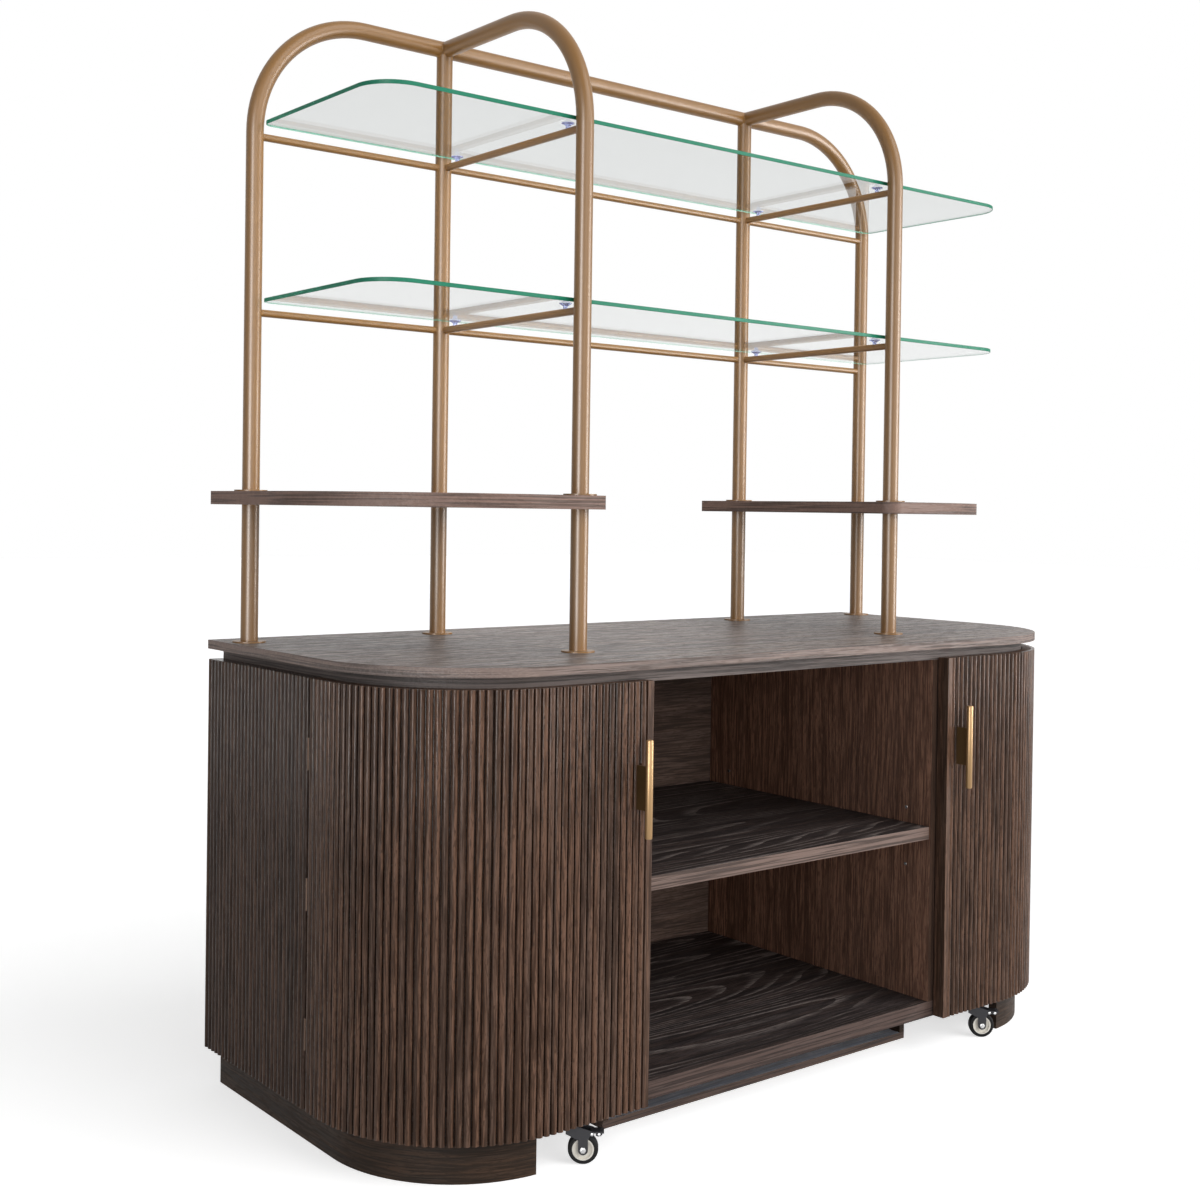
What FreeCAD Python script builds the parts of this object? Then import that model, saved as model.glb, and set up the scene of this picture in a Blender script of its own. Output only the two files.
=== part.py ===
import FreeCAD, Part
import math
import os
import re

# Free-standing bar cabinet: a reeded base with two curved doors that roll on casters,
# and a tube hutch with two wooden side shelves and two glass shelves.
# Millimetres. The origin is on the floor under the middle of the worktop,
# +Z is up and the doors face -Y.

SIZES = {
    "worktop_length": 1900,
    "worktop_depth": 800,
    "worktop_thickness": 18,
    "worktop_height": 914,
    "corner_radius": 310,
    "rear_corner_radius": 4,
    "carcass_inset": 31,
    "carcass_rear_inset": 10,
    "subtop_thickness": 26,
    "bottom_thickness": 26,
    "nosing_depth": 20,
    "nosing_drop": 8,
    "plinth_height": 84,
    "plinth_inset": 32,
    "plinth_thickness": 22,
    "plinth_lap": 22,
    "plinth_rear_inset": 16,
    "bay_width": 826,
    "partition_thickness": 25,
    "end_board_thickness": 18,
    "back_inset": 38,
    "back_thickness": 12,
    "panel_bottom": 78,
    "panel_drop": 39,
    "panel_rear_inset": 2,
    "door_core": 20,
    "door_lap": 10,
    "door_stile": 14,
    "reed_pitch": 15,
    "reed_groove": 1.2,
    "reed_depth": 6,
    "reed_backing": 2,
    "reed_margin": 1.5,
    "seam_back": 32,
    "seam_gap": 3.4,
    "toe_lap": 2,
    "toe_inset": 120,
    "toe_board": 15,
    "shelf_top": 499,
    "shelf_thickness": 28,
    "shelf_clearance": 2,
    "shelf_setback": 3,
    "end_shelf_setback": 70,
    "end_shelf_corner": 240,
    "pin_diameter": 5,
    "pin_grip": 10,
    "pin_clearance": 0.05,
    "pin_setback": 70,
    "pin_spacing": 64,
    "hinge_leaf": 1.5,
    "hinge_width": 28,
    "hinge_height": 60,
    "hinge_end": 110,
    "knuckle_diameter": 6,
    "knuckle_gap": 0.3,
    "hinge_pin": 3,
    "pivot_clearance": 0.04,
    "handle_edge_inset": 36,
    "handle_diameter": 14,
    "handle_length": 182,
    "handle_height": 680,
    "handle_standoff": 32,
    "blade_thickness": 6,
    "blade_height": 82,
    "blade_clearance": 0.2,
    "caster_gap": 84,
    "caster_inset": 34,
    "caster_heading": -38.7,
    "caster_trail": 18,
    "wheel_diameter": 56,
    "wheel_width": 20,
    "hub_diameter": 40,
    "hub_dish": 3,
    "tyre_round": 5,
    "axle_diameter": 6,
    "axle_head": 10,
    "axle_head_height": 3,
    "fork_plate": 2,
    "fork_gap": 1.3,
    "fork_top": 3,
    "fork_reach": 14,
    "fork_arm": 9,
    "swivel_gap": 0.3,
    "swivel_diameter": 32,
    "swivel_height": 6,
    "swivel_plate": 3,
    "swivel_plate_length": 46,
    "swivel_plate_width": 38,
    "kingpin_diameter": 8,
    "kingpin_head": 13,
    "kingpin_head_height": 3,
    "pedal_pivot_reach": 34,
    "pedal_pivot_height": 57,
    "pedal_boss": 8,
    "pedal_pin": 4,
    "pedal_length": 22,
    "pedal_plate": 3,
    "pedal_side_gap": 0.5,
    "pedal_rivet": 5,
    "block_width": 60,
    "block_depth": 42,
    "block_height": 60,
    "block_clearance": 5,
    "post_diameter": 35,
    "post_wall": 2,
    "post_end_inset": 45,
    "post_bay_inset": 17,
    "post_rear_inset": 98,
    "post_front_inset": 198,
    "bend_radius": 250,
    "top_rail_height": 1280,
    "rail_diameter": 15,
    "lower_rail_height": 666,
    "upper_rail_height": 1021,
    "rosette_diameter": 66,
    "rosette_thickness": 3,
    "stud_diameter": 10,
    "stud_reach": 42,
    "stud_clearance": 0.2,
    "side_shelf_height": 305,
    "side_shelf_thickness": 27,
    "side_shelf_margin": 46,
    "side_shelf_rear_inset": 8,
    "side_shelf_flat": 146,
    "side_shelf_corner": 35,
    "glass_thickness": 8,
    "glass_end_inset": 5,
    "glass_post_gap": 6,
    "glass_corner": 80,
    "glass_rear_corner": 20,
    "cup_diameter": 26,
    "cup_stem": 8,
    "cup_height": 10,
    "cup_flare": 6,
    "cup_post_gap": 55,
}

doc = FreeCAD.newDocument("BarCabinet")
sheet = doc.addObject("Spreadsheet::Sheet", "Sizes")
for row, (alias, value) in enumerate(SIZES.items(), 1):
    sheet.set(f"A{row}", alias)
    sheet.set(f"B{row}", str(value))
    sheet.setAlias(f"B{row}", alias)
doc.recompute()

UP = FreeCAD.Vector(0, 0, 1)
UPRIGHT = FreeCAD.Rotation()
ALONG_X = FreeCAD.Rotation(FreeCAD.Vector(0, 1, 0), 90)
ALONG_Y = FreeCAD.Rotation(FreeCAD.Vector(1, 0, 0), -90)
# A quarter turn of a cylinder or ring that opens towards -X and -Y.
FRONT_LEFT = FreeCAD.Rotation(UP, 180)

# Planes and distances that several pieces share, written in the sizes above.
PLANES = {
    "front_plane": "-worktop_depth / 2",
    "rear_plane": "worktop_depth / 2",
    "side_plane": "worktop_length / 2",
    "corner_offset": "side_plane - corner_radius",
    "corner_line": "front_plane + corner_radius",
    "carcass_front": "front_plane + carcass_inset",
    "carcass_rear": "rear_plane - carcass_rear_inset",
    "carcass_side": "side_plane - carcass_inset",
    "end_inside": "carcass_side - end_board_thickness",
    "subtop_level": "worktop_height - worktop_thickness",
    "subtop_underside": "subtop_level - subtop_thickness",
    "bottom_level": "plinth_height + bottom_thickness",
    "back_face": "rear_plane - back_inset - back_thickness",
    "bay_face": "bay_width / 2",
    "partition_face": "bay_width / 2 + partition_thickness",
    "plinth_inside": "side_plane - plinth_inset - plinth_thickness",
    "plinth_rear": "rear_plane - plinth_rear_inset",
    "plinth_end": "corner_offset + plinth_lap",
    "toe_half_width": "partition_face + toe_lap",
    "reeding_thickness": "reed_depth + reed_backing",
    "panel_level": "worktop_height - panel_drop",
    "panel_rear": "rear_plane - panel_rear_inset",
    "door_inside": "front_plane + reeding_thickness + door_core",
    "door_edge": "partition_face - door_lap",
    "seam_fixed": "-seam_back + seam_gap / 2",
    "seam_door": "-seam_back - seam_gap / 2",
    "shelf_underside": "shelf_top - shelf_thickness",
    "pin_level": "shelf_underside - pin_diameter / 2",
    "hinge_line": "side_plane - knuckle_diameter / 2",
    "knuckle_length": "hinge_height / 3",
    "leaf_start": "-hinge_line + knuckle_diameter / 2 + knuckle_gap",
    "handle_offset": "door_edge + handle_edge_inset",
    "handle_line": "front_plane - handle_standoff",
    "caster_offset": "plinth_end - caster_gap",
    "caster_line": "front_plane + caster_inset",
    "wheel_radius": "wheel_diameter / 2",
    "half_wheel": "wheel_width / 2",
    "cheek_inside": "half_wheel + fork_gap",
    "cheek_outside": "cheek_inside + fork_plate",
    "swivel_level": "panel_bottom - swivel_plate",
    "race_bottom": "swivel_level - swivel_height",
    "fork_crown": "race_bottom - swivel_gap",
    "fork_under": "fork_crown - fork_top",
    "kingpin_head_level": "fork_under - swivel_gap",
    "post_radius": "post_diameter / 2",
    "rail_radius": "rail_diameter / 2",
    "post_outer": "side_plane - post_end_inset",
    "post_inner": "partition_face + post_bay_inset",
    "post_rear": "rear_plane - post_rear_inset",
    "post_front": "-front_plane - post_front_inset",
    "top_rail_level": "worktop_height + top_rail_height",
    "bend_start": "top_rail_level - bend_radius",
    "rail_end": "post_outer - bend_radius",
    "side_shelf_level": "worktop_height + side_shelf_height",
    "side_shelf_inner": "post_inner - side_shelf_margin",
    "side_shelf_rear": "rear_plane - side_shelf_rear_inset",
    "side_shelf_radius": "side_plane - side_shelf_inner - side_shelf_corner - side_shelf_flat",
    "upper_post_foot": "side_shelf_level + rosette_thickness",
    "glass_half_length": "post_outer - glass_end_inset",
}

nodes = []


def size(alias):
    """Return one size of the sheet as a number."""
    return float(sheet.get(alias))


def expression(text):
    """Return a formula with its planes written out and its sizes as references to the sheet."""
    def resolve(word):
        name = word.group(0)
        return f"({expression(PLANES[name])})" if name in PLANES else f"Sizes.{name}"
    return re.sub(r"[a-z][a-z_]+", resolve, text)


def bind(thing, **formulas):
    """Tie properties of an object to formulas in the sheet's sizes."""
    for name, text in formulas.items():
        thing.setExpression(name, expression(text))
    return thing


def place(thing, x, y, z):
    """Tie an object's position to formulas."""
    for axis, text in zip("xyz", (x, y, z)):
        thing.setExpression(f"Placement.Base.{axis}", expression(text))
    return thing


def node(thing):
    """Keep an object as a sub-part of the cabinet."""
    nodes.append(thing)
    return thing


def box(name, x, y, z):
    """A block between low and high planes along each axis."""
    block = doc.addObject("Part::Box", name)
    spans = [f"({high}) - ({low})" for low, high in (x, y, z)]
    bind(block, Length=spans[0], Width=spans[1], Height=spans[2])
    return place(block, x[0], y[0], z[0])


def cylinder(name, radius, length, x, y, z, turn=UPRIGHT, angle=360):
    """A round bar, or a sector of one, that starts at a point."""
    bar = doc.addObject("Part::Cylinder", name)
    bar.Placement = FreeCAD.Placement(FreeCAD.Vector(), turn)
    bar.Angle = angle
    bind(bar, Radius=radius, Height=length)
    return place(bar, x, y, z)


def union(name, pieces):
    """Join pieces that are one solid."""
    joined = doc.addObject("Part::MultiFuse", name)
    joined.Shapes = pieces
    joined.Refine = True
    return joined


def cut(name, base, tool):
    """Take one piece away from another."""
    result = doc.addObject("Part::Cut", name)
    result.Base = base
    result.Tool = tool
    result.Refine = True
    return result


def group(name, pieces):
    """Hold separate solids in one node."""
    held = doc.addObject("Part::Compound", name)
    held.Links = pieces
    return held


def mirrored(name, source):
    """The same piece on the other side of the middle plane."""
    copy = doc.addObject("Part::Mirroring", name)
    copy.Source = source
    copy.Normal = FreeCAD.Vector(1, 0, 0)
    return copy


def rounded_board(name, x, y, z, corners):
    """A board whose plan corners, given by the signs of X and Y, are rounded."""
    body = doc.addObject("PartDesign::Body", name)
    feature = body.newObject("PartDesign::AdditiveBox", f"{name}_blank")
    spans = [f"({high}) - ({low})" for low, high in (x, y, z)]
    bind(feature, Length=spans[0], Width=spans[1], Height=spans[2])
    place(feature, x[0], y[0], z[0])
    doc.recompute()
    bounds = feature.Shape.BoundBox
    for number, (signs, radius) in enumerate(corners):
        spots = [(bounds.XMin if sx < 0 else bounds.XMax, bounds.YMin if sy < 0 else bounds.YMax)
                 for sx, sy in signs]
        edges = []
        for index, edge in enumerate(feature.Shape.Edges, 1):
            middle = edge.BoundBox.Center
            upright = edge.BoundBox.XLength + edge.BoundBox.YLength < 0.001
            if upright and any(math.hypot(middle.x - px, middle.y - py) < 0.001 for px, py in spots):
                edges.append(f"Edge{index}")
        fillet = body.newObject("PartDesign::Fillet", f"{name}_round_{number}")
        fillet.Base = (feature, edges)
        bind(fillet, Radius=radius)
        doc.recompute()
        feature = fillet
    body.Tip = feature
    return body


def curved_wall(name, inset, thickness, side_end, front_end, z):
    """A wall that follows the left front corner of the worktop at an inset."""
    outer = f"({inset})"
    inner = f"({inset} + {thickness})"
    low, high = z
    side = box(f"{name}_side", (f"-side_plane + {outer}", f"-side_plane + {inner}"),
               ("corner_line", side_end), z)
    front = box(f"{name}_front", ("-corner_offset", front_end),
                (f"front_plane + {outer}", f"front_plane + {inner}"), z)
    sectors = []
    for layer, depth in (("outer", outer), ("inner", inner)):
        sectors.append(cylinder(f"{name}_{layer}", f"corner_radius - {depth}", f"({high}) - ({low})",
                                "-corner_offset", "corner_line", low, FRONT_LEFT, 90))
    corner = cut(f"{name}_corner", *sectors)
    return [side, corner, front]


# Worktop, with a hole under each post for its stud.
FRONT_CORNERS = [(-1, -1), (1, -1)]
REAR_CORNERS = [(-1, 1), (1, 1)]
POSTS = {}
for sign, word in (("-", "left"), ("", "right")):
    POSTS[f"{word}_end"] = (f"{sign}post_outer", "post_rear")
    POSTS[f"{word}_inner"] = (f"{sign}post_inner", "post_rear")
    POSTS[f"{word}_front"] = (f"{sign}post_inner", "-post_front")


def stud_holes(name, posts, low, high):
    """Clearance holes for the studs of some posts."""
    holes = []
    for post in posts:
        x, y = POSTS[post]
        holes.append(cylinder(f"{name}_{post}_hole", "stud_diameter / 2 + stud_clearance",
                              f"({high}) - ({low})", x, y, low))
    return union(f"{name}_holes", holes)


worktop_blank = rounded_board("worktop_blank", ("-side_plane", "side_plane"),
                              ("front_plane", "rear_plane"), ("subtop_level", "worktop_height"),
                              [(FRONT_CORNERS, "corner_radius"), (REAR_CORNERS, "rear_corner_radius")])
node(cut("worktop", worktop_blank, stud_holes("worktop", POSTS, "subtop_level", "worktop_height")))

# Carcass: subtop and bottom board of one outline, partitions, end boards and back.
subtop_blank = rounded_board("subtop_blank", ("-carcass_side", "carcass_side"),
                             ("carcass_front", "carcass_rear"),
                             ("subtop_underside", "subtop_level"),
                             [(FRONT_CORNERS, "corner_radius - carcass_inset")])
node(cut("subtop", subtop_blank, stud_holes("subtop", POSTS, "subtop_underside", "subtop_level")))

bottom_blank = rounded_board("bottom_blank", ("-carcass_side", "carcass_side"),
                             ("carcass_front", "carcass_rear"),
                             ("plinth_height", "bottom_level"),
                             [(FRONT_CORNERS, "corner_radius - carcass_inset")])
nosing = box("nosing", ("-partition_face", "partition_face"),
             ("carcass_front", "carcass_front + nosing_depth"),
             ("plinth_height - nosing_drop", "plinth_height"))
notches = []
for sign in ("-", ""):
    notches.append(box(f"notch_{len(notches)}",
                       (f"{sign}caster_offset - block_width / 2 - block_clearance",
                        f"{sign}caster_offset + block_width / 2 + block_clearance"),
                       ("front_plane", "door_inside + block_depth + block_clearance"),
                       ("plinth_height", "bottom_level")))
node(cut("bottom_board", union("nosed_bottom", [bottom_blank, nosing]), union("notches", notches)))

PIN_ROWS = (-1, 0, 1)
PIN_COLUMNS = {"front": "(carcass_front + pin_setback)", "rear": "(back_face - pin_setback)"}


def pin_holes(name, face, rows):
    """Rows of shelf pin holes that start in a board's face and run towards +X."""
    holes = []
    for column, y in PIN_COLUMNS.items():
        for row in rows:
            holes.append(cylinder(f"{name}_{column}_{len(holes)}", "pin_diameter / 2 + pin_clearance",
                                  "pin_grip",
                                  face, y, f"pin_level + ({row}) * pin_spacing", ALONG_X))
    return holes


partition_blank = box("partition_blank", ("-partition_face", "-bay_face"),
                      ("carcass_front", "back_face"),
                      ("bottom_level", "subtop_underside"))
partition_holes = pin_holes("partition_inside", "-bay_face - pin_grip", PIN_ROWS)
partition_holes += pin_holes("partition_outside", "-partition_face", PIN_ROWS)
left_partition = node(cut("left_partition", partition_blank, union("partition_holes", partition_holes)))
node(mirrored("right_partition", left_partition))

end_board_blank = box("end_board_blank", ("-carcass_side", "-end_inside"),
                      ("seam_fixed", "carcass_rear"),
                      ("bottom_level", "subtop_underside"))
end_board_holes = []
END_COLUMNS = {"front": "(seam_fixed + pin_setback)", "rear": PIN_COLUMNS["rear"]}
for column, y in END_COLUMNS.items():
    for row in PIN_ROWS:
        end_board_holes.append(cylinder(f"end_board_{column}_{len(end_board_holes)}",
                                        "pin_diameter / 2 + pin_clearance", "pin_grip",
                                        "-end_inside - pin_grip", y,
                                        f"pin_level + ({row}) * pin_spacing", ALONG_X))
left_end_board = node(cut("left_end_board", end_board_blank, union("end_board_holes", end_board_holes)))
node(mirrored("right_end_board", left_end_board))

node(box("back_panel", ("-end_inside", "end_inside"), ("back_face", "back_face + back_thickness"),
         ("bottom_level", "subtop_underside")))

# Shelves inside the base, on metal pins.
node(box("middle_shelf", ("-bay_face + shelf_clearance", "bay_face - shelf_clearance"),
         ("carcass_front + shelf_setback", "back_face - shelf_clearance"),
         ("shelf_underside", "shelf_top")))
end_shelf = rounded_board("end_shelf",
                          ("-end_inside + shelf_clearance", "-partition_face - shelf_clearance"),
                          ("front_plane + end_shelf_setback", "back_face - shelf_clearance"),
                          ("shelf_underside", "shelf_top"), [([(-1, -1)], "end_shelf_corner")])
node(group("end_shelves", [end_shelf, mirrored("right_end_shelf", end_shelf)]))

left_pins = []
PIN_FACES = (
    ("bay", "-bay_face - pin_grip", PIN_COLUMNS),
    ("partition", "-partition_face - pin_grip", PIN_COLUMNS),
    ("end", "-end_inside - pin_grip", END_COLUMNS),
)
for place_name, start, columns in PIN_FACES:
    for column, y in columns.items():
        left_pins.append(cylinder(f"pin_{place_name}_{column}", "pin_diameter / 2", "2 * pin_grip",
                                  start, y, "pin_level", ALONG_X))
left_pin_set = group("left_pins", left_pins)
node(group("shelf_pins", [left_pin_set, mirrored("right_pins", left_pin_set)]))

# Plinths on the floor, and the open toe box under the middle bay.
plinth_run = union("plinth_run", curved_wall("plinth", "plinth_inset", "plinth_thickness",
                                             "rear_plane - plinth_rear_inset", "-toe_half_width",
                                             ("0", "plinth_height")))
plinth_trim = box("plinth_trim", ("-plinth_end", "0"), ("front_plane", "0"), ("0", "plinth_height"))
left_plinth = node(cut("left_plinth", plinth_run, plinth_trim))
node(mirrored("right_plinth", left_plinth))
node(box("rear_plinth", ("-plinth_inside", "plinth_inside"),
         ("plinth_rear - plinth_thickness", "plinth_rear"),
         ("0", "plinth_height")))
TOE_SPAN = ("front_plane + toe_inset", "plinth_rear - plinth_thickness")
node(box("toe_box_floor", ("-toe_half_width", "toe_half_width"), TOE_SPAN, ("0", "toe_board")))
left_cheek = box("left_cheek", ("-toe_half_width", "-toe_half_width + toe_board"), TOE_SPAN,
                 ("toe_board", "plinth_height"))
node(group("toe_box_cheeks", [left_cheek, mirrored("right_cheek", left_cheek)]))

# Fixed side panels behind the doors' hinge line.
PANEL_SPAN = ("panel_bottom", "panel_level")
left_side_panel = node(box("left_side_panel", ("-side_plane + reeding_thickness", "-carcass_side"),
                           ("seam_fixed", "panel_rear"), PANEL_SPAN))
node(mirrored("right_side_panel", left_side_panel))


def reed_profile(locate, length, corners):
    """The plan of a reeded skin: round reeds with narrow grooves over a thin backing.

    locate gives the point at a distance along the crest line and a depth below it,
    and corners lists the distances where the backing changes between line and arc.
    """
    groove = size("reed_groove")
    depth = size("reed_depth")
    back = depth + size("reed_backing")
    count = int(length / size("reed_pitch"))
    pitch = length / count
    edges = []
    for reed in range(count):
        start = reed * pitch + groove / 2
        end = (reed + 1) * pitch - groove / 2
        edges.append(Part.Arc(locate(start, depth), locate((start + end) / 2, 0),
                              locate(end, depth)).toShape())
        if reed < count - 1:
            edges.append(Part.LineSegment(locate(end, depth), locate(end + groove, depth)).toShape())
    last = length - groove / 2
    edges.append(Part.LineSegment(locate(last, depth), locate(last, back)).toShape())
    stops = [groove / 2] + corners + [last]
    for start, end in reversed(list(zip(stops, stops[1:]))):
        near, middle, far = (locate(spot, back) for spot in (end, (start + end) / 2, start))
        if corners and (start, end) == (corners[0], corners[1]):
            edges.append(Part.Arc(near, middle, far).toShape())
        else:
            edges.append(Part.LineSegment(near, far).toShape())
    edges.append(Part.LineSegment(locate(groove / 2, back), locate(groove / 2, depth)).toShape())
    return Part.Face(Part.Wire(edges))


def reeded_skin(name, profile):
    """A reeded skin over the full height of the doors and side panels."""
    low = size("panel_bottom")
    high = size("worktop_height") - size("panel_drop")
    skin = doc.addObject("Part::Feature", name)
    skin.Shape = profile.extrude(UP * (high - low))
    skin.Placement = FreeCAD.Placement(UP * low, UPRIGHT)
    return skin


half_length = size("worktop_length") / 2
half_depth = size("worktop_depth") / 2
fixed_start = size("seam_gap") / 2 - size("seam_back") + size("reed_margin")
fixed_length = half_depth - size("panel_rear_inset") - fixed_start


def on_side(distance, depth):
    """A point of the fixed left side, from the seam towards the rear."""
    return FreeCAD.Vector(depth - half_length, fixed_start + distance, 0)


left_side_reeding = node(reeded_skin("left_side_reeding", reed_profile(on_side, fixed_length, [])))
node(mirrored("right_side_reeding", left_side_reeding))

corner_radius = size("corner_radius")
corner_x = corner_radius - half_length
corner_y = corner_radius - half_depth
door_start = -size("seam_back") - size("seam_gap") / 2 - size("reed_margin")
door_side = door_start - corner_y
door_turn = corner_radius * math.pi / 2
door_edge = size("bay_width") / 2 + size("partition_thickness") - size("door_lap")
door_length = door_side + door_turn - corner_x - door_edge - size("door_stile")


def on_door(distance, depth):
    """A point of the left door, from the seam round the corner to its edge stile."""
    if distance <= door_side:
        return FreeCAD.Vector(depth - half_length, door_start - distance, 0)
    if distance >= door_side + door_turn:
        return FreeCAD.Vector(corner_x + distance - door_side - door_turn, depth - half_depth, 0)
    angle = math.pi + (distance - door_side) / corner_radius
    radius = corner_radius - depth
    return FreeCAD.Vector(corner_x + radius * math.cos(angle), corner_y + radius * math.sin(angle), 0)


# Doors: a bent core with a full edge stile and a block for the caster, and a reeded skin.
door_pieces = curved_wall("door", "reeding_thickness", "door_core", "seam_door", "-door_edge",
                          PANEL_SPAN)
door_pieces.append(box("door_stile", ("-door_edge - door_stile", "-door_edge"),
                       ("front_plane", "door_inside"), PANEL_SPAN))
door_pieces.append(box("door_block",
                       ("-caster_offset - block_width / 2", "-caster_offset + block_width / 2"),
                       ("door_inside", "door_inside + block_depth"),
                       ("panel_bottom", "panel_bottom + block_height")))
left_door = node(union("left_door", door_pieces))
node(mirrored("right_door", left_door))

BLADE_SPAN = ("handle_height - blade_height / 2", "handle_height + blade_height / 2")
door_skin = reeded_skin("door_skin",
                        reed_profile(on_door, door_length, [door_side, door_side + door_turn]))
blade_slot = box("blade_slot", ("-handle_offset - blade_thickness / 2 - blade_clearance",
                                "-handle_offset + blade_thickness / 2 + blade_clearance"),
                 ("front_plane - reed_backing", "front_plane + reeding_thickness"),
                 (f"{BLADE_SPAN[0]} - blade_clearance", f"{BLADE_SPAN[1]} + blade_clearance"))
left_door_reeding = node(cut("left_door_reeding", door_skin, blade_slot))
node(mirrored("right_door_reeding", left_door_reeding))

# Handles: a round bar on a flat blade that is let into the reeding.
left_bar = node(cylinder("left_handle_bar", "handle_diameter / 2", "handle_length", "-handle_offset",
                         "handle_line",
                         "handle_height - handle_length / 2"))
node(mirrored("right_handle_bar", left_bar))
blade_blank = box("blade_blank",
                  ("-handle_offset - blade_thickness / 2", "-handle_offset + blade_thickness / 2"),
                  ("handle_line", "front_plane + reeding_thickness"), BLADE_SPAN)
left_blade = node(cut("left_handle_blade", blade_blank, left_bar))
node(mirrored("right_handle_blade", left_blade))

# Butt hinges in the seam: two outer knuckles on the jamb leaf, one middle knuckle on the door leaf.
HINGE_LEVELS = {
    "low": "panel_bottom + hinge_end",
    "middle": "(panel_bottom + panel_level - hinge_height) / 2",
    "high": "panel_level - hinge_end - hinge_height",
}


def hinge_leaf(name, base, knuckles, y):
    """One hinge leaf with its knuckles, which are numbered from the bottom."""
    plate = box(f"{name}_plate", ("leaf_start", "-hinge_line + hinge_width"), y,
                (base, f"{base} + hinge_height"))
    pieces = [plate]
    for number in knuckles:
        span = (f"{base} + {number} * knuckle_length + knuckle_gap / 2",
                f"{base} + {number + 1} * knuckle_length - knuckle_gap / 2")
        pieces.append(box(f"{name}_tongue_{number}", ("-hinge_line", "leaf_start"), y, span))
        pieces.append(cylinder(f"{name}_knuckle_{number}", "knuckle_diameter / 2",
                               f"({span[1]}) - ({span[0]})",
                               "-hinge_line", "-seam_back", span[0]))
    bore = cylinder(f"{name}_bore", "hinge_pin / 2 + pivot_clearance", "hinge_height", "-hinge_line",
                    "-seam_back", base)
    return cut(name, union(f"{name}_solid", pieces), bore)


jamb_leaves = []
door_leaves = []
pins = []
for level, base in HINGE_LEVELS.items():
    jamb_leaves.append(hinge_leaf(f"jamb_leaf_{level}", base, (0, 2),
                                  ("seam_fixed - hinge_leaf", "seam_fixed")))
    door_leaves.append(hinge_leaf(f"door_leaf_{level}", base, (1,),
                                  ("seam_door", "seam_door + hinge_leaf")))
    pins.append(cylinder(f"hinge_pin_{level}", "hinge_pin / 2", "hinge_height", "-hinge_line",
                         "-seam_back", base))
left_jamb_leaves = group("left_jamb_leaves", jamb_leaves)
node(group("hinge_jamb_leaves", [left_jamb_leaves, mirrored("right_jamb_leaves", left_jamb_leaves)]))
left_hinge_pins = group("left_hinge_pins", pins)
node(group("hinge_pins", [left_hinge_pins, mirrored("right_hinge_pins", left_hinge_pins)]))
left_door_leaves = node(group("left_door_leaves", door_leaves))
node(mirrored("right_door_leaves", left_door_leaves))

# Casters, drawn with the swivel axis at the origin and the wheel trailing along +X.


def set_on_door(thing, sign):
    """Put a caster piece under its door, with the wheel at its resting heading."""
    thing.Placement = FreeCAD.Placement(FreeCAD.Vector(), FreeCAD.Rotation(UP, size("caster_heading")))
    place(thing, f"{sign}caster_offset", "caster_line", "0")
    return thing


def caster_plate(name):
    """The fixed plate with its raceway and kingpin."""
    plate = box(f"{name}_sheet", ("-swivel_plate_length / 2", "swivel_plate_length / 2"),
                ("-swivel_plate_width / 2", "swivel_plate_width / 2"), ("swivel_level", "panel_bottom"))
    race = cylinder(f"{name}_race", "swivel_diameter / 2", "swivel_height", "0", "0", "race_bottom")
    pin = cylinder(f"{name}_kingpin", "kingpin_diameter / 2", "swivel_level - kingpin_head_level", "0",
                   "0", "kingpin_head_level")
    head = cylinder(f"{name}_head", "kingpin_head / 2", "kingpin_head_height", "0", "0",
                    "kingpin_head_level - kingpin_head_height")
    return union(name, [plate, race, pin, head])


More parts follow.
